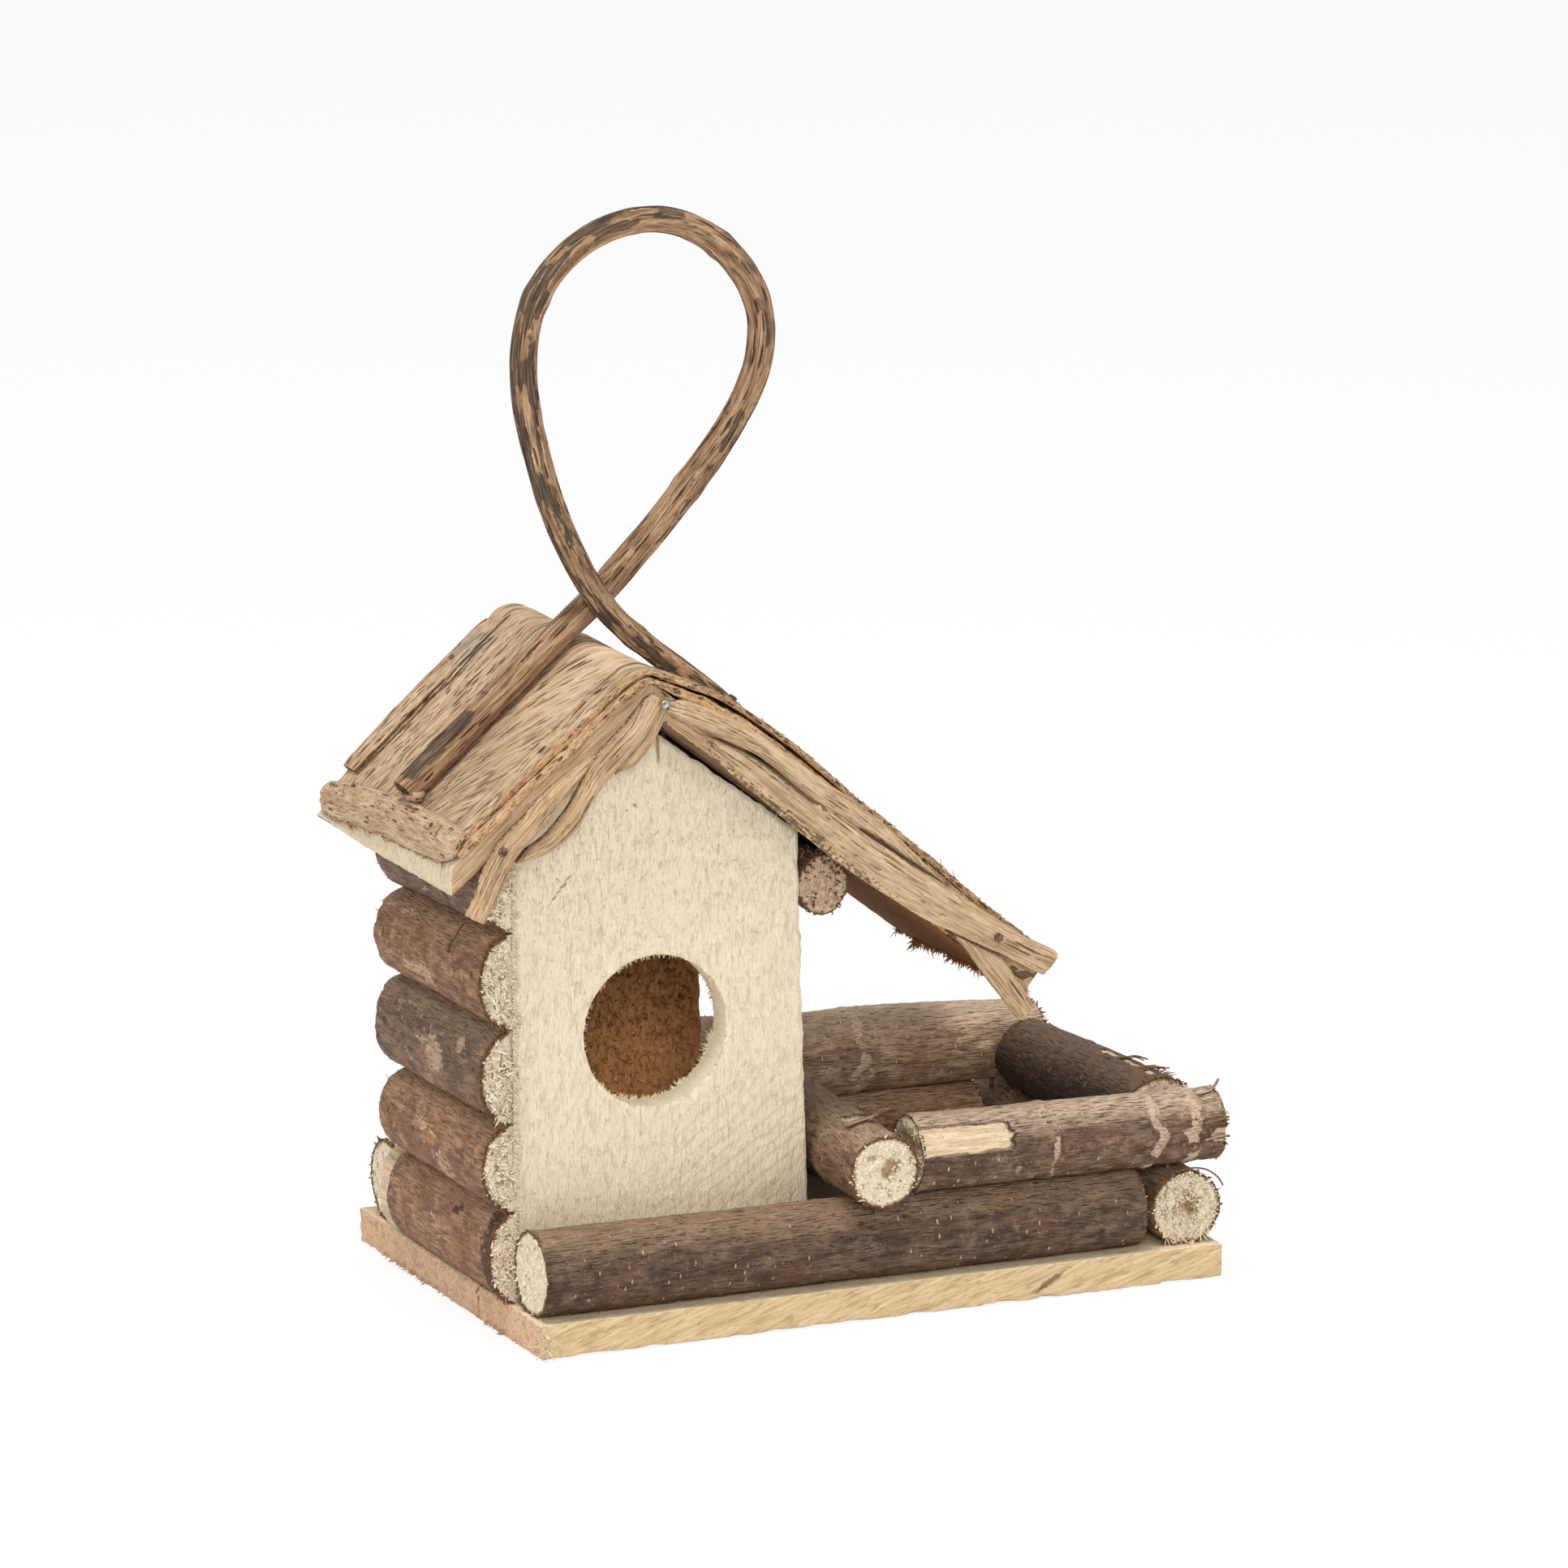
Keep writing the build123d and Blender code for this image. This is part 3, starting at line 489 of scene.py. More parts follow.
def dashes_group():
    """Short separate marks, such as the breathing pores of bark or the slits between fibres."""
    inputs = {"Grain": None, "Gap Along": 4.0, "Gap Across": 4.0, "Long": 0.5, "High": 1.2, "Amount": 0.5}
    tree, given, result = new_group("bark_dashes", inputs, ["Dash"])
    gaps = given["Gap Along"], given["Gap Across"]
    scaled = spread(tree, given["Grain"], *[one_over(tree, gap) for gap in gaps])
    cells = put(tree, "ShaderNodeTexVoronoi", {"Vector": scaled, "Scale": 1.0, "Randomness": 0.9}).outputs
    ends = {0: scaled, 1: cells["Position"]}
    offset = put(tree, "ShaderNodeVectorMath", ends, operation="SUBTRACT").outputs[0]
    shape = [sums(tree, "DIVIDE", gap, given[size]) for gap, size in zip(gaps, ("Long", "High"))]
    reach = {0: spread(tree, offset, *shape)}
    away = put(tree, "ShaderNodeVectorMath", reach, operation="LENGTH").outputs["Value"]
    dash = between(tree, away, 1.0, 0.6)
    chosen = put(tree, "ShaderNodeSeparateColor", {0: cells["Color"]}).outputs[0]
    picked = sums(tree, "LESS_THAN", chosen, given["Amount"])
    tree.links.new(sums(tree, "MULTIPLY", dash, picked), result["Dash"])
    return tree


def spots_group():
    """Uneven patches: Patch has soft edges, Crisp has torn ones."""
    inputs = {"Grain": None, "Size": 10.0, "Share": 0.5}
    tree, given, result = new_group("worn_spots", inputs, ["Patch", "Crisp"])
    size = one_over(tree, given["Size"])
    value = grainy(tree, spread(tree, given["Grain"], size, size), 1.0, 5.0, 0.6)
    level = sums(tree, "SUBTRACT", 1.0, given["Share"])
    for label, soft in (("Patch", 0.16), ("Crisp", 0.03)):
        limits = sums(tree, "SUBTRACT", level, soft), sums(tree, "ADD", level, soft)
        tree.links.new(between(tree, value, *limits), result[label])
    return tree


def nap_group():
    """The raised nap of sawn wood: Height for the bump, Shade for the little shadows."""
    inputs = {"Grain": None, "Long": 1.8, "Wide": 0.6}
    tree, given, result = new_group("sawn_nap", inputs, ["Height", "Shade"])
    sizes = [one_over(tree, given[size]) for size in ("Long", "Wide")]
    value = grainy(tree, spread(tree, given["Grain"], *sizes), 1.0, 4.0, 0.6, 0.6)
    tree.links.new(value, result["Height"])
    tree.links.new(between(tree, value, 0.53, 0.68), result["Shade"])
    return tree


STREAKS, DASHES, SPOTS, NAP = streaks_group(), dashes_group(), spots_group(), nap_group()


def mixed(share, tone, other=(0, 0, 0)):
    """A tone between two others, or a darker one."""
    return tuple(share * a + (1 - share) * b for a, b in zip(tone, other))


class Finish:
    """A material being put together from tones laid over each other; grain and marks come from the piece."""

    def __init__(self, name):
        self.material = bpy.data.materials.new(name)
        self.material.use_nodes = True
        self.tree = self.material.node_tree
        self.shader = self.tree.nodes["Principled BSDF"]
        self.grain = put(self.tree, "ShaderNodeAttribute", attribute_name="grain").outputs["Vector"]
        marks = put(self.tree, "ShaderNodeAttribute", attribute_name="marks").outputs["Vector"]
        self.marks = put(self.tree, "ShaderNodeSeparateXYZ", {0: marks}).outputs
        self.shader.inputs["Specular IOR Level"].default_value = 0.25

    def use(self, group, output, **inputs):
        node = put(self.tree, "ShaderNodeGroup", node_tree=group)
        self.tree.links.new(self.grain, node.inputs["Grain"])
        for key, value in inputs.items():
            node.inputs[key.replace("_", " ")].default_value = value
        return node.outputs[output]

    def dashes(self, gaps, size, amount):
        return self.use(DASHES, "Dash", Gap_Along=gaps[0], Gap_Across=gaps[1], Long=size[0], High=size[1],
                        Amount=amount)

    def times(self, a, b):
        return sums(self.tree, "MULTIPLY", a, b)

    def plus(self, a, b):
        return sums(self.tree, "ADD", a, b)

    def minus(self, a, b):
        return sums(self.tree, "SUBTRACT", a, b)

    def between(self, value, *limits):
        return between(self.tree, value, *limits)

    def torn(self, mark, size, bite, soft=0.06):
        """A painted mark with a torn edge."""
        wobble = self.minus(grainy(self.tree, self.grain, 1.0 / size, 4.0), 0.5)
        return self.between(self.plus(mark, self.times(wobble, 2 * bite)), 0.5 - soft, 0.5 + soft)

    def start(self, low_tone, high_tone, share):
        self.colour = blend(self.tree, share, shade(*low_tone), shade(*high_tone))

    def lay(self, tone, share, strength=1.0):
        """A tone over what is there already, as strong as share times strength."""
        self.colour = blend(self.tree, self.times(share, strength), self.colour, shade(*tone))

    def done(self, roughness, height, strength, depth):
        self.tree.links.new(self.colour, self.shader.inputs["Base Color"])
        self.tree.links.new(roughness, self.shader.inputs["Roughness"])
        bump = put(self.tree, "ShaderNodeBump",
                   {"Height": height, "Strength": strength, "Distance": depth / 1000})
        self.tree.links.new(bump.outputs[0], self.shader.inputs["Normal"])
        return self.material


def sawn_finish(name, pale, mid, dark, stain_and_shade=(150, 112, 70), long=16.0, wide=1.2, lines=0.0, strength=0.6,
                nap=(1.5, 0.55)):
    """Sawn wood with raised nap. Marks: stains and painted shade, growth lines."""
    f = Finish(name)
    fine = f.use(STREAKS, "Fine", Long=long, Wide=wide)
    tuft = f.use(NAP, "Shade", Long=2.6 * nap[0], Wide=2.4 * nap[1])
    f.start(pale, mid, f.between(f.use(STREAKS, "Streak", Long=long, Wide=wide), 0.3, 0.7))
    f.lay(dark, f.use(NAP, "Shade", Long=nap[0], Wide=nap[1]), 0.7)
    f.lay(dark, tuft, 0.45)
    f.lay(mid, f.use(SPOTS, "Patch", Size=26.0, Share=0.42), 0.3)
    if lines:
        parts = put(f.tree, "ShaderNodeSeparateXYZ", {0: f.grain}).outputs
        slant = f.plus(f.times(parts[0], 0.83 / 2.7), f.times(parts[1], -0.55 / 2.7))
        wavy = f.plus(slant, f.times(grainy(f.tree, f.grain, 0.06, 2.0), 2.2))
        rings = sums(f.tree, "SINE", f.times(wavy, FULL))
        f.lay(dark, f.between(rings, 0.35, 1.0), f.times(f.marks[1], lines))
    # The darkest tone: stains on some woods, painted shade on others.
    f.lay(stain_and_shade, f.torn(f.marks[0], 0.8, 0.4, 0.3), 0.85)
    height = f.plus(f.use(NAP, "Height", Long=nap[0], Wide=nap[1]), f.times(fine, 0.35))
    height = f.minus(height, f.times(tuft, 0.35))
    return f.done(f.between(fine, 0.2, 0.8, 0.72, 0.92), height, strength, 0.9)


STRIPPED = (244, 216, 178)


def bark_finish(name, base, dark, pale, warm, dash, wrinkle=1.0, dash_amount=0.65, dust_and_top_light=0.45, mottle=0.47):
    """Smooth twig bark. Marks: bark stripped to the wood, dark patches, pale worn rings."""
    f = Finish(name)
    deep = mixed(0.5, dark)
    streak = f.use(STREAKS, "Streak", Long=7.0, Wide=1.5)
    fine = f.use(STREAKS, "Fine", Long=5.0, Wide=0.6)
    f.start(dark, base, f.between(streak, 0.3, 0.7))
    for tone, edge, size, share, strength in ((warm, "Patch", 15.0, 0.42, 0.7),
                                              (dark, "Patch", 9.0, 0.4, 0.55),
                                              (pale, "Patch", 4.0, 0.38, 0.4),
                                              (dark, "Crisp", 7.0, mottle, 0.5),
                                              (pale, "Crisp", 5.0, 0.75 * mottle, 0.45)):
        f.lay(tone, f.use(SPOTS, edge, Size=size, Share=share), strength)
    # Top-facing bark is lightened: partly dusty, partly painted light from above.
    normal = put(f.tree, "ShaderNodeNewGeometry").outputs["Normal"]
    upward = put(f.tree, "ShaderNodeSeparateXYZ", {0: normal}).outputs[2]
    f.lay(mixed(0.5, pale, dash), f.between(upward, 0.25, 1.0),
          f.between(fine, 0.25, 0.7, 0.25, dust_and_top_light + 0.2))
    f.lay(deep, f.between(fine, 0.46, 0.34), 0.8 * wrinkle)
    f.lay(mixed(0.35, pale, dash), f.torn(f.marks[2], 1.3, 0.6), f.between(fine, 0.3, 0.6, 0.3, 0.8))
    spot = f.dashes((3.2, 3.2), (0.32, 0.8), dash_amount)
    f.lay(dash, spot, 0.85)
    f.lay(dash, f.dashes((1.0, 1.0), (0.2, 0.2), 0.4), 0.45)
    f.lay(deep, f.torn(f.marks[1], 1.5, 0.45), 0.85)
    wood = f.between(f.use(STREAKS, "Streak", Long=14.0, Wide=0.8), 0.35, 0.65)
    bare = blend(f.tree, wood, shade(*STRIPPED), shade(*mixed(0.88, STRIPPED)))
    f.colour = blend(f.tree, f.torn(f.marks[0], 0.7, 0.3), f.colour, bare)
    height = f.plus(f.times(fine, 1.3 * wrinkle), f.times(spot, 0.3))
    height = f.plus(height, f.times(streak, 0.6))
    return f.done(f.between(streak, 0.2, 0.8, 0.5, 0.8), height, 1.0, 0.8)


def end_finish(name, pale, mid, pore, rim, ring, pith_and_warm_light):
    """A sawn log end. Marks: distance from the bark, the log's heart and on some ends a warm tint of painted
    bounced light, chewed-out pits.
    """
    f = Finish(name)
    nap = f.use(NAP, "Height", Long=0.7, Wide=0.7)
    f.start(mid, pale, f.between(nap, 0.35, 0.65))
    holes = f.dashes((1.1, 1.1), (0.5, 0.3), 0.32)
    f.lay(pore, holes, 0.7)
    f.lay(mixed(0.6, pore, mid), f.use(SPOTS, "Crisp", Size=1.6, Share=0.34), 0.4)
    f.lay(mid, f.use(SPOTS, "Patch", Size=5.0, Share=0.4), 0.3)
    f.lay(mixed(0.65, pore, mid), f.torn(f.marks[2], 0.7, 0.35, 0.2), 0.7)
    wobble = f.times(f.minus(grainy(f.tree, f.grain, 1.1, 3.0), 0.5), 1.1)
    edge = f.plus(f.marks[0], wobble)
    f.lay(mixed(0.5, rim, pale), f.between(edge, ring, 0.6 * ring))
    f.lay(rim, f.between(edge, 0.6 * ring, 0.35 * ring))
    f.lay(pith_and_warm_light, f.torn(f.marks[1], 0.7, 0.3, 0.3))
    return f.done(f.between(nap, 0.2, 0.8, 0.75, 0.95), f.minus(nap, f.times(holes, 0.6)), 1.0, 0.9)


def fibrous_finish(name, base, light, dark, slit, slit_amount=0.8, slit_size=(1.9, 0.27), gap=(2.8, 1.05),
                   grey=(150, 143, 134), grey_share=0.6, grey_soft=0.3, thread=0.85, crack=0.55,
                   string=(12.0, 0.8)):
    """Stringy inner bark. Marks: dark cracks and painted shade, grey weathering, pale rubbed places."""
    f = Finish(name)
    streak = f.use(STREAKS, "Streak", Long=13.0, Wide=1.3)
    fine = f.use(STREAKS, "Fine", Long=string[0], Wide=string[1])
    f.start(base, light, f.between(streak, 0.32, 0.68))
    f.lay(base, f.use(SPOTS, "Patch", Size=15.0, Share=0.4), 0.5)
    wide_gap, gash = (2.1 * gap[0], 1.7 * gap[1]), (2.3 * slit_size[0], 1.1 * slit_size[1])
    slits = sums(f.tree, "MAXIMUM", f.dashes(gap, slit_size, slit_amount),
                 f.dashes(wide_gap, gash, 0.4 * slit_amount))
    f.lay(dark, f.between(fine, 0.48, 0.34), thread)
    f.lay(slit, slits, 0.9)
    f.lay(light, f.torn(f.marks[2], 2.0, 0.45), 0.6)
    f.lay(grey, f.torn(f.marks[1], 1.5, 0.5, grey_soft),
          f.between(fine, 0.5, 0.62, grey_share, 0.5 * grey_share))
    f.lay(mixed(crack, slit), f.torn(f.marks[0], 0.8, 0.4), 0.8)
    height = f.minus(f.plus(fine, f.times(streak, 0.7)), f.times(slits, 0.9))
    return f.done(f.between(fine, 0.2, 0.8, 0.7, 0.9), height, 1.0, 0.9)


def metal_finish(name, base, tarnish, metallic, rough_low, rough_high):
    f = Finish(name)
    spots = grainy(f.tree, put(f.tree, "ShaderNodeTexCoord").outputs["Object"], 900.0, 4.0)
    f.start(base, tarnish, f.between(spots, 0.4, 0.62))
    f.shader.inputs["Metallic"].default_value = metallic
    return f.done(f.between(spots, 0.3, 0.7, rough_low, rough_high), spots, 0.4, 0.15)


PANEL_WOOD = sawn_finish("panel_wood", (245, 230, 203), (240, 223, 193), (216, 191, 152), (160, 120, 78),
                         5.0, 2.2, 0.5, 0.75, (1.5, 0.5))
# A paler copy of the panel wood for the hole's wall and its torn fibres: painted light.
LIT_HOLE_WOOD = sawn_finish("lit_hole_wood", (255, 243, 214), (253, 236, 203), (238, 212, 172), (206, 160, 112),
                        6.0, 2.0, 0.0, 0.4, (1.5, 0.5))
# A paler copy of the inner wood, for the fur low on the rear wall's inside: painted light.
LIT_INNER_FUR = sawn_finish("lit_inner_fur", (255, 204, 144), (240, 178, 114), (160, 106, 62), (84, 54, 32), 3.0,
                        1.2, 0.0, 0.6, (1.7, 1.0))
INNER_WOOD = sawn_finish("inner_wood", (226, 166, 107), (202, 142, 85), (118, 74, 40), (84, 54, 32), 3.0,
                         1.2, 0.0, 1.0, (1.7, 1.0))
BASE_WOOD = sawn_finish("base_wood", (230, 206, 166), (204, 173, 129), (168, 132, 90), (122, 88, 58), 14.0,
                        1.1, 0.0, 0.7, (3.4, 0.6))
# A paler copy of the base wood for its top: painted light; its darkest tone is painted shade on the tray
# floor.
LIT_BASE_TOP = sawn_finish("lit_base_top_wood", (250, 230, 194), (238, 214, 174), (204, 172, 128), (58, 43, 31),
                       14.0, 1.1, 0.0, 0.7, (3.4, 0.6))
BASE_END = sawn_finish("base_end_wood", (238, 201, 166), (224, 183, 146), (178, 136, 103), (112, 76, 50),
                       2.0, 0.9, 0.0, 1.0, (1.3, 1.0))
BOARD_WOOD = sawn_finish("roof_board_wood", (230, 213, 184), (220, 200, 168), (188, 162, 124),
                         nap=(2.2, 0.7))
# A darker, orange copy of the board wood for the boards' undersides: painted shade with warm bounced light.
SHADED_UNDER_WOOD = sawn_finish("shaded_roof_under_wood", (164, 114, 70), (140, 93, 52), (94, 61, 34), (58, 39, 26),
                         wide=0.8, strength=0.9, nap=(2.2, 0.8))
SPLIT_WOOD = sawn_finish("split_wood", (210, 182, 146), (190, 158, 120), (150, 116, 82))
TRAY_BARK = bark_finish("tray_bark", (124, 100, 81), (66, 50, 38), (166, 140, 117), (116, 80, 56),
                        (214, 174, 138), mottle=0.4)
GREY_BARK = bark_finish("grey_bark", (160, 130, 106), (94, 72, 56), (194, 165, 138), (140, 101, 74),
                        (222, 190, 158), 0.9, 0.45)
# Strongly lightened tops: a dusty coat and painted light from above.
DUSTY_TOPLIT_BARK = bark_finish("dusty_toplit_bark", (142, 114, 92), (84, 63, 48), (218, 190, 164), (132, 92, 66),
                         (228, 200, 170), 0.9, 0.5, dust_and_top_light=0.85)
# Paler than the bark itself: painted light for the rear upper tray log, which lies in the roof's shade.
PALE_LIT_BARK = bark_finish("pale_lit_bark", (224, 191, 158), (145, 114, 90), (238, 212, 183), (184, 141, 108),
                        (238, 212, 182), 0.9, 0.45)
# Paler than the front tray bark: painted light for the rear lower log, which lies in shade.
SHADY_BARK = bark_finish("shady_bark", (198, 154, 120), (119, 88, 67), (218, 180, 146), (180, 127, 93),
                         (232, 196, 160), 0.9, 0.45)
DARK_BARK = bark_finish("dark_bark", (76, 57, 43), (42, 31, 23), (112, 89, 70), (72, 49, 34),
                        (160, 127, 97), 0.9, 0.4)
RED_BARK = bark_finish("red_bark", (196, 151, 115), (114, 78, 54), (220, 181, 146), (174, 119, 84),
                       (224, 188, 152), 0.9, 0.35)
DULL_BARK = bark_finish("dull_bark", (156, 127, 104), (94, 72, 56), (184, 157, 133), (152, 114, 87),
                        (204, 172, 140), 0.9, 0.3)
STONE_BARK = bark_finish("stone_bark", (166, 134, 108), (88, 68, 53), (200, 171, 143), (172, 124, 90),
                         (220, 187, 154), 0.95, 0.4)
CUT_END = end_finish("cut_end_wood", (254, 243, 221), (238, 218, 184), (146, 112, 76), (112, 77, 48), 1.25,
                     (178, 144, 98))
PURLIN_END = end_finish("purlin_end_wood", (228, 200, 168), (196, 164, 131), (146, 112, 81), (116, 85, 60),
                        0.6, (234, 212, 184))
ROOF_BARK = fibrous_finish("roof_bark", (190, 155, 119), (224, 195, 161), (136, 100, 68), (92, 62, 39),
                           0.85, (1.7, 0.27), (2.5, 0.95), thread=0.75, crack=0.7, string=(8.0, 0.6))
ROOF_EDGE = fibrous_finish("roof_bark_edge", (200, 158, 113), (230, 195, 153), (124, 86, 53), (84, 56, 34),
                           0.5, (1.4, 0.34), thread=0.85, string=(3.2, 0.7))
CRUMBLY = fibrous_finish("crumbly_bark", (192, 158, 122), (222, 193, 160), (138, 103, 72), (100, 70, 45),
                         0.4, (1.9, 0.3), (3.6, 1.3), thread=0.8, crack=0.8, string=(6.0, 0.6))
TWIG_WOOD = fibrous_finish("split_twig_wood", (206, 171, 131), (230, 201, 163), (146, 110, 75),
                           (112, 82, 54), 0.12, (6.0, 0.3), (9.0, 2.0), thread=0.75, crack=0.9,
                           string=(14.0, 0.55))
LEFT_TWIG = fibrous_finish("hanging_twig_wood", (196, 160, 121), (221, 188, 150), (134, 99, 68),
                           (100, 71, 46), 0.15, (6.0, 0.3), (9.0, 2.0), thread=0.75, crack=0.85,
                           string=(14.0, 0.55))
HANDLE_BARK = fibrous_finish("handle_bark", (146, 110, 80), (208, 170, 131), (78, 57, 41), (54, 39, 29),
                             0.45, (3.4, 0.3), (4.6, 1.1), (72, 60, 50), 0.9, 0.14, string=(9.0, 0.55))
BARE_FIBRE = sawn_finish("bare_fibre", (252, 240, 217), (240, 222, 192), (206, 179, 143))
BROWN_FIBRE = sawn_finish("brown_fibre", (150, 110, 76), (120, 85, 56), (80, 55, 36))
# Orange fibres along the right board's lower end: painted warm bounced light in the shade under the eave.
WARM_LIT_FRINGE_FIBRE = sawn_finish("warm_lit_fringe_fibre", (224, 158, 102), (194, 130, 78), (136, 88, 52))
BRIGHT_STEEL = metal_finish("bright_steel", (188, 189, 192), (104, 102, 100), 1.0, 0.22, 0.5)
RUSTY_STEEL = metal_finish("rusty_steel", (128, 112, 98), (96, 70, 52), 0.75, 0.45, 0.75)


# Base.

def make_base():
    piece = Piece()

    def place(u, v, w):
        chewed = 0.45 * rough(v / 1.6, w / 1.3, 0, 24, 3) * ease(1.2, 0.0, u)
        splintered = (0.7 * np.maximum(0, rough(u / 4.0, v / 4.0, 0, 25, 3)) * ease(1.6, 0.0, w)
                      * ease(2.5, 0.0, v))
        height = np.clip(w + 0.08 + splintered, 0.1, BASE_HIGH)
        return columns(u - BASE_LONG / 2 + np.maximum(chewed, -0.02), v - BASE_DEEP / 2, height)

    def marks(u, v, w):
        x, y = u - BASE_LONG / 2, v - BASE_DEEP / 2
        lean = 0.58 * (x - 41.0)
        streak = 1.2 * np.exp(-((x - 41.0) / 4.6) ** 2 - ((w - 3.9 - lean) / 0.75) ** 2) * (y < -50)
        crack = 1.1 * np.exp(-((y + 18 + 0.5 * rough(w / 2, x, 0, 5)) / 0.5) ** 2) * (x < -84)
        crack = crack + 1.1 * np.exp(-((y + 33) / 0.35) ** 2) * (x < -84)
        # Painted shade on the base's top: between the panel's foot and the cross log, and along the rear
        # tray log.
        corner = np.maximum(ease(9, 5, x), ease(46, 32, x) * ease(8, 18, y))
        corner_shade = 1.2 * corner * ease(-17, -13, x) * ease(-37, -34, y) * (w > 7)
        return columns(streak + crack + corner_shade, 0, 0)

    def grain(u, v, w):
        return columns(u * 0.95 + w * 0.5, v, w - 0.32 * u)

    slab(piece, (BASE_LONG, BASE_DEEP, BASE_HIGH - 0.08), place, 1.1, 0.5, 0.09, 3, (1, 1, 0, 0, 0, 2),
         marks, grain)
    draw = np.random.default_rng(21)
    count = 220
    y = draw.uniform(-53, 54, count)
    roots = columns(-84.6, y, draw.uniform(0.5, 1.6, count))
    ways = columns(-draw.uniform(0.5, 1.0, count), draw.normal(0, 0.35, count),
                   -draw.uniform(0.0, 0.45, count))
    reach = np.where(rough(y / 9, 0, 0, 4) > -0.1, draw.uniform(0.6, 1.9, count), 0.6)
    slivers(piece, roots, ways, reach, draw.uniform(0.3, 0.75, count), 22, 1, 0.3)
    # Pale curls torn up at the front left corner.
    count = 46
    roots = columns(draw.uniform(-84.9, -83.6, count), draw.uniform(-54.9, -54.2, count),
                    draw.uniform(0.8, 6.8, count))
    ways = outward(draw, count, (0.1, 0.7), (0.2, 0.9), (-0.3, 0.7))
    spray(piece, draw, roots, ways, (0.9, 2.4), (0.3, 0.65), 23, 3, 1.1)
    for points in piece.points:
        points[:, 2] = np.maximum(points[:, 2], 0.02)
    piece.make("base_plank", "sawn_pine", [BASE_WOOD, BASE_END, LIT_BASE_TOP, BARE_FIBRE], "base_board")


# House panels.

PANEL_OUTLINE = np.array([(-83.0, 8.0), (-10.4, 8.0), (-13.2, 110.87), (-55.17, 142.15), (-83.0, 119.62)])


def outline_reach(middle, turn):
    """How far the panel's outline is from a spot inside it, in each direction."""
    way = columns(np.cos(turn), np.sin(turn))
    reach = np.full(turn.shape, 1e9)
    for a, b in zip(PANEL_OUTLINE, np.roll(PANEL_OUTLINE, -1, 0)):
        edge = b - a
        cross = way[:, 0] * edge[1] - way[:, 1] * edge[0]
        safe = np.where(np.abs(cross) < 1e-9, 1e-9, cross)
        far = ((a - middle)[0] * edge[1] - (a - middle)[1] * edge[0]) / safe
        reach = np.where((far > 0) & (far < reach), far, reach)
    return reach


def panel_marks(x, z):
    """Stains and growth lines of the front panel."""
    lines = ease(-62, -30, x + 0.35 * (40 - z)) * ease(64, 40, z)
    spots = np.zeros_like(x)
    for sx, sz, wide, tall, lean in ((-47.8, 133.0, 0.45, 4.6, -0.06), (-56.5, 133.5, 0.5, 2.2, 0.5),
                                     (-57.5, 129.5, 0.4, 1.6, 0.0), (-70.5, 104.0, 0.35, 3.2, 0.8),
                                     (-73.0, 101.0, 0.3, 2.0, 0.8), (-53.5, 120.5, 0.8, 0.35, 0.0),
                                     (-55.5, 119.5, 0.5, 0.3, 0.0)):
        dx, dz = x - sx - lean * (z - sz), z - sz
        spots = np.maximum(spots, 1.15 * np.exp(-(dx / wide) ** 2 - (dz / tall) ** 2))
    return columns(spots, lines, 0)


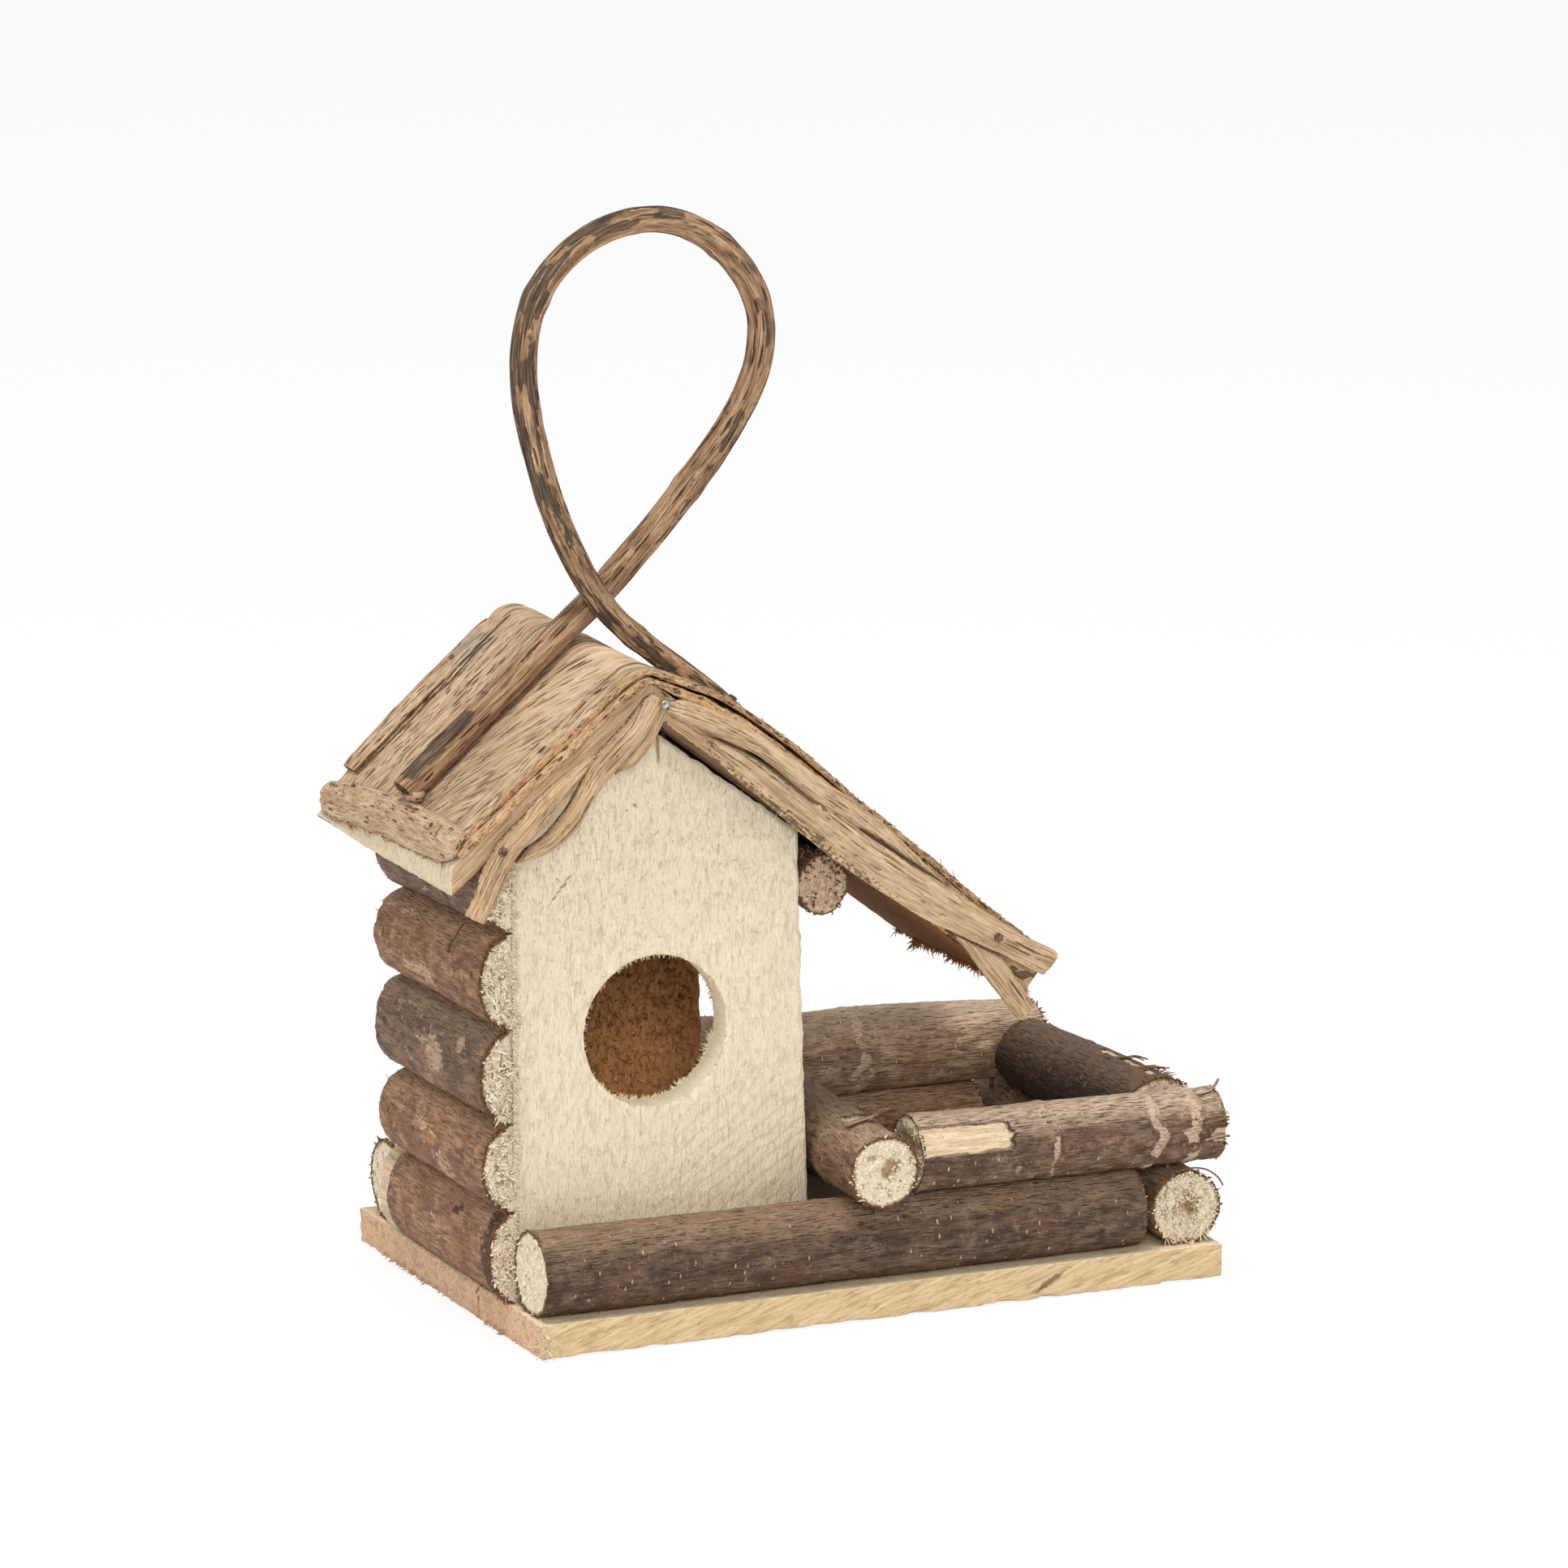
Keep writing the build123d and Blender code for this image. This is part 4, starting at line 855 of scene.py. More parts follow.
def make_panel(middle, hole, front, looks, seed):
    """A five-sided panel, netted outwards from its hole or its middle."""
    piece = Piece()
    middle = np.array(middle)
    count = 620
    turn = all_round(count)
    corners = np.arctan2(*(PANEL_OUTLINE - middle).T[::-1]) % math.tau
    for c in corners:
        turn[np.argmin(np.abs((turn - c + np.pi) % math.tau - np.pi))] = c
    turn = np.sort(turn)
    reach = outline_reach(middle, turn)
    way = columns(np.cos(turn), np.sin(turn))
    inner = np.full(count, 1.0)
    if hole:
        inner = hole + 0.12 * rough(way[:, 0] * 16, way[:, 1] * 16, 0, seed, 2)
    share = np.linspace(0, 1, 84) ** 0.9
    edge = 0.35 * rough(way[:, 0] * reach / 3, way[:, 1] * reach / 3, 1, seed + 3, 2) - 0.25
    edge = edge * np.clip(1 - ease(0.0, 1.0, np.abs(way[:, 1])) * (way[:, 1] < 0), 0, 1)
    at_wall = middle[0] + reach * way[:, 0] < WALL_X + 0.1
    edge = np.where(at_wall, 0.1 * edge, edge)
    for side, y, facing in ((0, front, -1.0), (1, front + PANEL_THICK, 1.0)):
        radius = inner + (reach + edge - inner) * share[:, None]
        x = middle[0] + radius * way[:, 0]
        z = middle[1] + radius * way[:, 1]
        lift = 0.09 * rough(x / 1.2, z / 2.2, side, seed, 3) + 0.12 * rough(x / 9, z / 16, side, seed + 5)
        soft = ease(0, 0.9, (reach + edge) - radius)
        if hole:
            soft = ease(0, 0.7, radius - inner) * soft
        soft = np.where(at_wall, np.maximum(soft, 0.8), soft)
        lift = (lift - 0.12) * soft - 0.45 * (1 - soft)
        points = columns(x, y + facing * lift, z)
        grain = columns(z, x, side * 40.0)
        marks, hub = None, None
        if not hole:
            hub = np.array([middle[0], points[0, :, 1].mean(), middle[1]])
            points, grain = points[::-1], grain[::-1]
        elif looks[side] == 0:
            marks = panel_marks(x, z)
        piece.strip(points, grain, np.array([0, facing, 0]), looks[side], marks, True, hub)
    depth = np.linspace(0.45, PANEL_THICK - 0.45, 9)
    rim = middle + (reach + edge)[:, None] * way
    wall = columns(rim[:, 0], front + depth[:, None], rim[:, 1])
    away = columns(way[:, 0], 0.0, way[:, 1])
    bite = 0.16 * rough(wall[..., 0], wall[..., 1], wall[..., 2], seed + 8, 2) - 0.1
    bite[[0, -1]] = 0
    piece.strip(wall + away * bite[..., None], wall[..., [2, 0, 1]], away, looks[2], None, True)
    draw = np.random.default_rng(seed)
    if hole:
        tube = columns(middle[0] + inner * way[:, 0], front + depth[:, None], middle[1] + inner * way[:, 1])
        piece.strip(tube, tube[..., [1, 0, 2]] + np.array([0, 200.0, 0]), -away, looks[3], None, True)
        count = 150
        pick = draw.uniform(0, math.tau, count)
        ring = columns(np.cos(pick), np.sin(pick))
        foot = middle + (hole + 0.15) * ring
        rise = -ring[:, 1] * 0.3 + 0.5 * np.sign(-ring[:, 1])
        for back, y, low_size in ((0, front + 0.3, 0.6), (1, front + PANEL_THICK - 0.3, 2.2)):
            roots = columns(foot[:, 0], y, foot[:, 1])
            ways = columns(-ring[:, 0] * 0.6, -0.2 + 0.5 * back, rise)
            long = draw.uniform(0.4, 1.2, count) * np.where(ring[:, 1] < -0.2, low_size, 0.9)
            wide = draw.uniform(0.15, 0.4, count)
            slivers(piece, roots, ways, long, wide, seed + 30 + back, looks[back], 0.4)
        # Pale fibres torn up along the low side of the hole's far rim.
        count = 320
        tear = np.random.default_rng(seed + 60)
        pick = tear.uniform(-2.95, -0.2, count)
        ring = columns(np.cos(pick), np.sin(pick))
        foot = middle + (hole + 0.1) * ring
        roots = columns(foot[:, 0], front + PANEL_THICK - 0.6, foot[:, 1])
        ways = columns(-ring[:, 0] + tear.normal(0, 0.35, count), tear.uniform(-0.2, 0.3, count),
                       -ring[:, 1] + tear.normal(0, 0.35, count))
        uneven = np.clip(0.75 + 0.7 * rough(pick * 5, 0, 0, seed + 61, 2), 0.3, 1.2)
        long = tear.uniform(0.4, 2.2, count) * uneven
        slivers(piece, roots, ways, long, tear.uniform(0.25, 0.5, count), seed + 62, looks[3], 0.5)
    return piece, draw


def make_panels():
    piece, draw = make_panel((HOLE_X, HOLE_Z), HOLE_RADIUS, HOUSE_FRONT, (0, 1, 0, 3), 40)
    count = 1500
    x, z = draw.uniform(-82, -15, count), draw.uniform(12, 130, count)
    inside = ((z < 119 + (x + 83) * 0.8) & (z < 141 - (x + 55.2) * 0.745)
              & (np.hypot(x - HOLE_X, z - HOLE_Z) > HOLE_RADIUS + 1))
    inside &= x < -10.9 - (z - 8) * 0.0272
    x, z = x[inside], z[inside]
    roots = columns(x, HOUSE_FRONT + 0.05, z)
    ways = columns(draw.normal(0, 0.35, len(x)), -draw.uniform(0.1, 0.35, len(x)),
                   np.where(draw.random(len(x)) < 0.8, -1.0, 1.0))
    spray(piece, draw, roots, ways, (0.6, 1.9), (0.15, 0.32), 41, 2, 0.25, columns(z, x, 0))
    count = 26
    x, z = draw.uniform(-80, -20, count), draw.uniform(88, 118, count)
    roots = columns(x, HOUSE_FRONT + 0.1, z)
    ways = outward(draw, count, (0, 0.8), (0.2, 0.5), (0.2, 0.8))
    spray(piece, draw, roots, ways, (1.4, 3.2), (0.25, 0.45), 42, 2, 0.9, columns(z, x, 0))
    piece.make("front_wall", "sawn_pine", [PANEL_WOOD, INNER_WOOD, PANEL_WOOD, LIT_HOLE_WOOD], "front_panel")
    piece, draw = make_panel((HOLE_X, 66.0), 0.0, HOUSE_REAR - PANEL_THICK, (1, 0, 0, 0), 50)
    count = 3600
    x, z = draw.uniform(-80, -14, count), draw.uniform(14, 108, count)
    roots = columns(x, HOUSE_REAR - PANEL_THICK + 0.15, z)
    ways = outward(draw, count, (0, 0.6), (0.3, 0.8), (-0.5, 0.6))
    size, wide = draw.uniform(0.9, 2.3, count), draw.uniform(0.25, 0.5, count)
    # Fur low on the wall takes the paler finish, fur higher up the darker one: painted light below, painted
    # shade above.
    pale = draw.random(count) < ease(60, 40, z)
    for look, those in ((1, ~pale), (2, pale)):
        slivers(piece, roots[those], ways[those], size[those], wide[those], 52 + look, look, 0.5)
    piece.make("rear_wall", "sawn_pine", [PANEL_WOOD, INNER_WOOD, LIT_INNER_FUR], "rear_panel")


# Round logs.

def round_log(start, end, r0, r1, seed, bark=TRAY_BARK, rings=(), strips=(), bow=0.0, floor=None,
              lumps=0.28, ends=(0.3, 0.3), fuzz=(40, 40), pith_and_warm_light=(0.0, 0.0), squash=1.0, chew=0.4,
              hollow=None):
    """A log with its bark on. rings are worn nodes (place, width, strength), strips are bare places
    (from, to, angle, half angle)."""
    piece = Piece()
    start, end = np.array(start, float), np.array(end, float)
    axis = unit(end - start)
    length = np.linalg.norm(end - start)
    side = np.array([0, -1.0, 0] if abs(axis[0]) > 0.5 else [-1.0, 0, 0])
    up = np.cross(side, axis) if np.cross(side, axis)[2] > 0 else np.cross(axis, side)
    along = np.linspace(0, length, int(length / LOG_STEP) + 1)
    s, a = grid(along, all_round(int(math.tau * max(r0, r1) / LOG_STEP)))
    share = s / length
    radius = r0 + (r1 - r0) * share
    ca, sa = np.cos(a), np.sin(a)
    shape = lumps * rough(s / 22, 1.3 * ca, 1.3 * sa, seed, 2) - lumps
    shape += 0.10 * rough(s / 3.2, radius * ca / 0.9, radius * sa / 0.9, seed + 1, 2)
    shape += 0.07 * rough(s / 1.0, radius * ca / 0.6, radius * sa / 0.6, seed + 2)
    marks = np.zeros(s.shape + (3,))
    for place, width, strength in rings:
        off = s - place - 1.2 * rough(2.2 * ca, 2.2 * sa, place, seed + 3)
        knob = 0.45 * strength * np.exp(-(off / width) ** 2)
        dip = 0.25 * strength * np.exp(-((off - 1.6 * width) / width) ** 2)
        shape += knob - dip
        worn = (strength * np.exp(-(off / (1.25 * width)) ** 2)
                * (0.75 + 0.4 * rough(3 * ca, 3 * sa, place, seed + 4)))
        paint(marks, 2, worn)
    for first, last, angle, half in strips:
        gap = (a - angle + np.pi) % math.tau - np.pi
        room = half + 0.05 * rough(s / 4.0, gap * 4, 0, seed + 6, 2) - np.abs(gap)
        ragged = 1.3 * rough(gap * 5, 0, first, seed + 7, 3)
        since, until = s - first - ragged, last + ragged - s
        inside = ease(-0.06, 0.06, room) * ease(-0.5, 0.5, since) * ease(-0.5, 0.5, until)
        paint(marks, 0, inside)
        paint(marks, 1, 0.95 * np.exp(-((s - last - ragged - 0.7) / 0.45) ** 2) * ease(-0.1, 0.05, room))
        lip = ease(-0.22, 0.0, room) * ease(-2.0, 0.0, until) * ease(-2.0, 0.0, since)
        shape += -0.75 * inside + 0.3 * (lip - inside)
    radius = radius + shape
    bend = bow * np.sin(np.pi * share) * (0.5 + 0.5 * sa)
    ragged = np.maximum(0, 0.28 * rough(6 * ca, 6 * sa, 0, seed + 9, 3))
    near_start, near_end = np.clip(1 - s / 2, 0, 1), np.clip(1 - (length - s) / 2, 0, 1)
    shift = np.where(share < 0.5, ragged * near_start, -ragged * near_end)
    shift = shift + np.where(share < 0.5, ends[0], -ends[1]) * np.abs(1 - 2 * share)
    points = start + axis * (s + shift)[..., None]
    points = points + side * (squash * radius * ca)[..., None] + up * (radius * sa + bend)[..., None]
    grain = columns(s + 61.0 * seed, radius * ca, radius * sa)
    if floor is not None:
        points[..., 2] = np.maximum(points[..., 2], floor)
    core = start + axis * s[..., None] + up * bend[..., None]
    piece.strip(points, grain, points - core, 0, marks, True)
    draw = np.random.default_rng(seed + 70)
    for k, out, pit in ((0, -axis, hollow), (-1, axis, None)):
        ring = points[k]
        cross = columns(radius[k] * ca[k], radius[k] * sa[k])
        cut_end(piece, ring, out, 1, 61.0 * seed + k, cross, seed + 5 + k, 22, chew, 0.0, pit)
        # A tint in the middle of the end: the log's heart, and on the front upper log painted light bounced
        # from the pale wood beside it.
        if pith_and_warm_light[k]:
            off = np.linalg.norm(piece.points[-1] - ring.mean(0), axis=1)
            piece.marks[-1][:, 1] = np.exp(-(off / pith_and_warm_light[k]) ** 2) * 0.9
        count = fuzz[k]
        if count:
            pick = draw.uniform(0, math.tau, count)
            far = radius[k].mean() * np.sqrt(draw.uniform(0.05, 0.96, count))
            roots = ring.mean(0) - out * 0.1
            roots = roots + side * (far * np.cos(pick))[:, None] + up * (far * np.sin(pick))[:, None]
            ways = out * 0.6 + draw.normal(0, 0.75, (count, 3)) + np.array([0, 0, -0.5])
            size = draw.uniform(0.4, 1.2, count) * np.where((np.sin(pick) < -0.3) & (chew > 0.6), 1.9, 1.0)
            slivers(piece, roots, ways, size, draw.uniform(0.3, 0.75, count), seed + 80 + k, 2, 0.5,
                    columns(size * 9, far, pick))
            count, rim = 70, radius[k].mean()
            pick = draw.uniform(0, math.tau, count)
            roots = ring.mean(0) - out * 0.5 + side * (rim * squash * np.cos(pick))[:, None]
            roots = roots + up * (rim * np.sin(pick))[:, None]
            ways = out * draw.uniform(0.4, 1.0, (count, 1)) + draw.normal(0, 0.5, (count, 3))
            roots[:, 2] = np.maximum(roots[:, 2], 0.4 + (floor or 0.0))
            spray(piece, draw, roots, ways, (0.5, 1.3), (0.3, 0.7), seed + 84 + k, 3, 0.5)
    return piece, [bark, CUT_END, BARE_FIBRE, BROWN_FIBRE]


def make_tray():
    logs = {"tray_right_upper": dict(start=(77.9, -36.7, 34.4), end=(76.7, 32.0, 33.4), r0=9.9, r1=8.9,
                                     seed=7, rings=((44, 1.0, 0.4),), strips=((3, 30, 1.62, 0.10),),
                                     bark=DARK_BARK, pith_and_warm_light=(9.0, 0.0)),
            "tray_front_lower": dict(start=(-83.8, -45.8, 17.5), end=(66.1, -45.8, 17.0), r0=10, r1=9.5,
                                     seed=1, floor=ON_BASE, rings=((98, 1.2, 0.3),), fuzz=(120, 30),
                                     lumps=0.2, chew=0.3),
            "tray_rear_lower": dict(start=(-83.8, 41.8, 17.5), end=(66.1, 41.8, 17.0), r0=10, r1=9.5,
                                    seed=2, floor=ON_BASE, rings=((60, 1.6, 0.5), (112, 1.5, 0.7)),
                                    bark=SHADY_BARK),
            "tray_right_lower": dict(start=(77.3, -52, 16.5), end=(77.3, 52, 16.5), r0=9, r1=9, seed=3,
                                     floor=ON_BASE, fuzz=(420, 80), rings=((40, 1.6, 0.5),), bark=GREY_BARK,
                                     chew=0.7, hollow=(-0.8, 0.9, 3.4, 1.5)),
            "tray_cross_log": dict(start=(-1.35, -57, 34.75), end=(0.2, 49.8, 36.3), r0=8.75, r1=10.3,
                                   seed=4, fuzz=(260, 60), bark=GREY_BARK,
                                   rings=((7, 0.9, 0.4), (19, 1.0, 0.45)), chew=0.55,
                                   hollow=(-1.6, 1.0, 2.3, 0.8), strips=((15.5, 18.0, 1.75, 0.5),)),
            # The warm tint over its left end is painted light bounced from the pale wood beside it.
            "tray_front_upper": dict(start=(9.1, -45.8, 35.4), end=(86.9, -45.8, 34.6), r0=9.4, r1=8.6,
                                     seed=5, fuzz=(40, 60), bark=DUSTY_TOPLIT_BARK, ends=(0.3, 0.4),
                                     rings=((33, 0.9, 0.8), (60.0, 1.3, 1.05), (69.5, 2.0, 0.8)),
                                     strips=((-4.0, 22.5, 0.52, 0.36), (74.5, 82, -0.15, 0.22),
                                             (73.0, 82, 1.35, 0.16)), pith_and_warm_light=(7.5, 0.0)),
            "tray_rear_upper": dict(start=(10.8, 41.8, 36.4), end=(82.4, 41.8, 35.2), r0=10.4, r1=9.2,
                                    seed=6, rings=((22, 1.3, 0.75), (26, 0.9, 0.5)), bow=1.2, lumps=0.4,
                                    bark=PALE_LIT_BARK)}
    pieces = {node: round_log(**facts) for node, facts in logs.items()}
    # Bark that peels off the top of the right-hand upper log.
    piece = pieces["tray_right_upper"][0]
    draw = np.random.default_rng(90)
    for k in range(5):
        y, reach = draw.uniform(-31, -14), draw.uniform(3.2, 5.8)
        root = np.array([77.9 + draw.uniform(0.6, 1.8), y, 43.3])
        way = np.array([draw.uniform(0.6, 1.0), -draw.uniform(0.5, 1.0), 0.0])
        tip = root + (way + (0, 0, draw.uniform(0.0, 0.25))) * reach
        spots = [root - 3 * way, root, root + (0.5 * way + (0, 0, 0.12)) * reach, tip]
        shred(piece, spots, draw.uniform(1.6, 2.8), 0.32, 92 + k, draw.choice([0, 3]))
    roots = columns(draw.uniform(79, 82, 30), draw.uniform(-34, -22, 30), 43.2)
    ways = columns(draw.uniform(0.5, 1.0, 30), -draw.uniform(0.3, 0.9, 30), draw.uniform(0.0, 0.3, 30))
    spray(piece, draw, roots, ways, (1.0, 2.6), (0.3, 0.6), 91, 3, 0.3)
    # A thin strip over the end of the right-hand lower log, and flaps on two others.
    strip = [(74.5, -51.2, 25.2), (78.5, -51.8, 25.9), (82.0, -52.4, 25.3), (84.6, -53.0, 23.4),
             (85.8, -53.4, 21.4)]
    shred(pieces["tray_right_lower"][0], strip, 1.0, 0.4, 99, 3)
    for k, (y, z, rise) in enumerate(((-48.0, 42.8, 2.6), (-53.6, 37.4, 0.3), (-54.0, 33.4, -0.2))):
        flap = [(80.5, y, z - 0.7), (84.5, y - 0.1, z - 0.1), (86.2, y - 0.2, z + 0.5 * rise),
                (87.0, y - 0.1, z + rise)]
        shred(pieces["tray_front_upper"][0], flap, 2.6, 0.6, 110 + k, (0, 3, 0)[k])
    for k, (x, y, rise) in enumerate(((0.2, -43.8, 0.4), (2.6, -42.4, 1.6), (4.4, -41.0, 0.9))):
        flap = [(x - 6.0, y - 0.5, 43.2), (x - 2.0, y, 43.9), (x + 1.0, y + 0.3, 44.2 + 0.5 * rise),
                (x + 3.0, y + 0.6, 44.2 + rise)]
        shred(pieces["tray_cross_log"][0], flap, 3.2, 0.5, 120 + k, (0, 3, 0)[k])
    for node, (piece, looks) in pieces.items():
        piece.make(node + "_log", "bark_log", looks, node)
    piece, looks = round_log((-6.9, -35, 97.5), (-6.9, 31.5, 97.5), 7.15, 7.15, 8, bark=DULL_BARK,
                             fuzz=(90, 20), lumps=0.2, squash=0.9, pith_and_warm_light=(0.9, 0.9), chew=0.45)
    # Shreds of bark caught between the panel's edge and the purlin.
    draw = np.random.default_rng(95)
    for k in range(9):
        off = draw.uniform(-1.4, 2.6), draw.uniform(0, 1.5), draw.uniform(-0.8, 0.9)
        root = np.array([-9.8, -34.6, 103.4]) + off
        hook = np.array([draw.uniform(-1.6, 1.6), -draw.uniform(0.1, 0.6), draw.uniform(0.8, 3.0)])
        tip = root + hook + (draw.uniform(-1.3, 1.3), -0.2, -0.5)
        spots = [root - (0.4, 0, 1.6), root, root + 0.6 * hook, tip]
        shred(piece, spots, draw.uniform(0.35, 0.9), 0.3, 130 + k, 3)
    roots = columns(draw.uniform(-12.6, -8.0, 26), -36.3, draw.uniform(102.5, 107.0, 26))
    ways = outward(draw, 26, (0, 0.8), (0.1, 0.6), (0.3, 0.8))
    spray(piece, draw, roots, ways, (0.6, 1.9), (0.3, 0.7), 96, 2, 0.7)
    piece.make("purlin_log", "bark_log", [looks[0], PURLIN_END, PURLIN_END, BROWN_FIBRE], "purlin")


# Split logs of the left wall.

# Torn white tufts on the log ends: log, then (across, height, size).
TUFTS = {1: ((-0.5, 46.8, 1.0),), 2: ((-3.2, 52.2, 1.4), (-0.5, 62.0, 1.0)),
         3: ((-0.5, 75.0, 1.0), (-0.3, 83.0, 0.8))}


def make_wall_logs():
    logs = ((8.4, 29.1, 8.4, 29.0, 6.5, 31.5, RED_BARK), (29.5, 49.5, 29.3, 48.5, 8.0, 27.5, RED_BARK),
            (49.9, 71.4, 48.8, 70.5, 8.3, 29.0, STONE_BARK), (71.8, 93.8, 70.8, 90.6, 8.3, 29.0, RED_BARK),
            (94.2, 116.8, 90.9, 116.0, 8.0, 30.0, DULL_BARK))
    for k, (low, high, rear_low, rear_high, bulge, rear, bark) in enumerate(logs):
        piece = Piece()
        seed = 300 + 20 * k
        y = np.linspace(HOUSE_FRONT, rear, int((rear - HOUSE_FRONT) / LOG_STEP) + 1)
        turn = np.linspace(-np.pi / 2, np.pi / 2, 56)
        s, a = grid(y, turn)
        share = (s - HOUSE_FRONT) / (rear - HOUSE_FRONT)
        bottom, top = low + (rear_low - low) * share, high + (rear_high - high) * share
        half, middle = (top - bottom) / 2, (top + bottom) / 2
        ca, sa = np.cos(a), np.sin(a)
        shape = 0.28 * rough(s / 16, 1.6 * ca, 1.6 * sa, seed, 2) - 0.25
        shape += (0.10 * rough(s / 3.0, half * ca, half * sa, seed + 1, 2)
                  + 0.05 * rough(s, half * ca / 0.6, half * sa / 0.6, seed + 2))
        shape *= np.clip(ca * 4, 0, 1)
        ragged = 0.9 * np.maximum(0, rough(a * 4.0, 0, 0, seed + 3, 3))
        near_front = np.clip(1 - (s - HOUSE_FRONT) / 2.5, 0, 1)
        near_rear = np.clip(1 - (rear - s) / 2.5, 0, 1)
        shift = ragged * near_front - ragged[:, ::-1] * near_rear
        x = WALL_X - bulge * ca ** 0.8 - shape * ca
        z = middle + (half + shape) * sa
        points = columns(x, s + shift, z)
        marks = np.zeros(points.shape)
        if k == 0:
            marks[..., 0] = ease(26.0, 27.0, s + 0.8 * rough(a * 3, 0, 0, 9, 2))
            shady = 0.6 * np.exp(-((s + 14) / 5) ** 2 - ((a - 0.7) / 0.3) ** 2)
            paint(marks, 1, 0.62 * ease(-24, -33, s) + shady)
        if k == 2:
            marks[..., 2] = np.exp(-((s + 7) / 6) ** 2 - ((a + 0.05) / 0.42) ** 2)
            marks[..., 2] += 0.8 * np.exp(-((s + 21) / 3) ** 2 - ((a - 0.5) / 0.3) ** 2)
        if k == 3:
            slit = np.exp(-((s + 15.5 + 0.3 * np.sin(a * 9)) / 0.55) ** 2)
            marks[..., 1] = 1.1 * slit * (a > 0.35) * (a < 1.25)
        paint(marks, 2, 0.55 * ease(0.3, 0.75, rough(s / 10, a * 2.4, k, seed + 14, 3)))
        torn_edge = ease(HOUSE_FRONT + 1.5, HOUSE_FRONT + 0.4, s + 0.9 * rough(a * 5, 0, 0, seed + 12, 3))
        paint(marks, 1, 0.8 * torn_edge)
        for nail in (-30.2, rear - 5.5):
            paint(marks, 1, 1.2 * np.exp(-((s - nail) / 0.45) ** 2 - ((a - 0.15) * half / 0.9) ** 2))
        grain = columns(s + 53.0 * k, half * ca, half * sa)
        core = columns(WALL_X + 2.0, s, middle)
        piece.strip(points, grain, points - core, 0, marks)
        across = np.linspace(0, 1, 18)
        back = points[:, :1] + (points[:, -1:] - points[:, :1]) * across[None, :, None]
        back[..., 0] += (0.12 * rough(back[..., 1] / 4, back[..., 2], 0, seed + 4, 2)
                         * np.sin(np.pi * across))
        piece.strip(back, back[..., [1, 2, 0]], np.array([1.0, 0, 0]), 1)
        draw = np.random.default_rng(seed)
        for end, out in ((0, -1.0), (-1, 1.0)):
            rim = np.concatenate([points[end], back[end, ::-1][1:-1]])
            cross = rim[:, [0, 2]]
            cut_end(piece, rim, np.array([0, out, 0]), 2, 53.0 * k + end, cross, seed + 6, 16, 0.7)
            piece.marks[-1][piece.points[-1][:, 0] > WALL_X - 1.6, 0] = 3.0
            count = 200 if end == 0 else 60
            pick = draw.uniform(-1.25, 1.25, count)
            far = np.sqrt(draw.uniform(0.0, 1.0, count))
            root_x = WALL_X - bulge * np.cos(pick) ** 0.8 * far * 0.94
            root_z = middle[end, 0] + half[end, 0] * np.sin(pick) * far * 0.94
            roots = columns(root_x, (HOUSE_FRONT if end == 0 else rear) - out * 0.15, root_z)
            ways = outward(draw, count, (0.25, 0.6), (0.2, 0.8), (-0.35, 0.6), out)
            size = draw.uniform(0.5, 1.6, count) * np.where(draw.random(count) < 0.16, 1.8, 1.0)
            slivers(piece, roots, ways, size, draw.uniform(0.35, 0.95, count), seed + 8, 3, 0.6,
                    columns(size * 9, far, pick))
        count = 130
        seam = draw.uniform(-0.98, 0.98, count)
        roots = columns(WALL_X - 0.3, HOUSE_FRONT + 0.1, middle[0, 0] + half[0, 0] * seam)
        ways = columns(draw.uniform(0.2, 1.0, count), -draw.uniform(0.1, 0.5, count),
                       draw.normal(-0.2, 0.6, count))
        spray(piece, draw, roots, ways, (0.6, 1.9), (0.35, 0.9), seed + 10, 3, 0.6)
        for off, high_up, size in TUFTS.get(k, ()):
            count = 24
            tuft = np.array([WALL_X + off, HOUSE_FRONT - 0.1, high_up])
            roots = tuft + draw.normal(0, 0.5 * size, (count, 3)) * (1, 0, 1)
            ways = outward(draw, count, (0.1, 0.8), (0.2, 0.7), (-0.2, 0.8))
            long = draw.uniform(0.9, 2.0, count) * size
            slivers(piece, roots, ways, long, draw.uniform(0.5, 1.0, count), seed + 11, 3, 0.9)
        count = 120
        pick = draw.uniform(-1.45, 1.45, count)
        rim_x, rim_z = WALL_X - bulge * np.cos(pick) ** 0.8, middle[0, 0] + half[0, 0] * np.sin(pick)
        roots = columns(rim_x + 0.2, HOUSE_FRONT + 0.4, rim_z)
        ways = outward(draw, count, (0.1, 0.6), (0.4, 0.9), (-0.1, 0.6))
        spray(piece, draw, roots, ways, (0.5, 1.6), (0.3, 0.8), seed + 9, 4, 0.5)
        looks = [bark, SPLIT_WOOD, CUT_END, BARE_FIBRE, BROWN_FIBRE]
        piece.make(f"wall_log_{k + 1}_split", "bark_log", looks, f"wall_log_{k + 1}")


# Roof boards and bark.

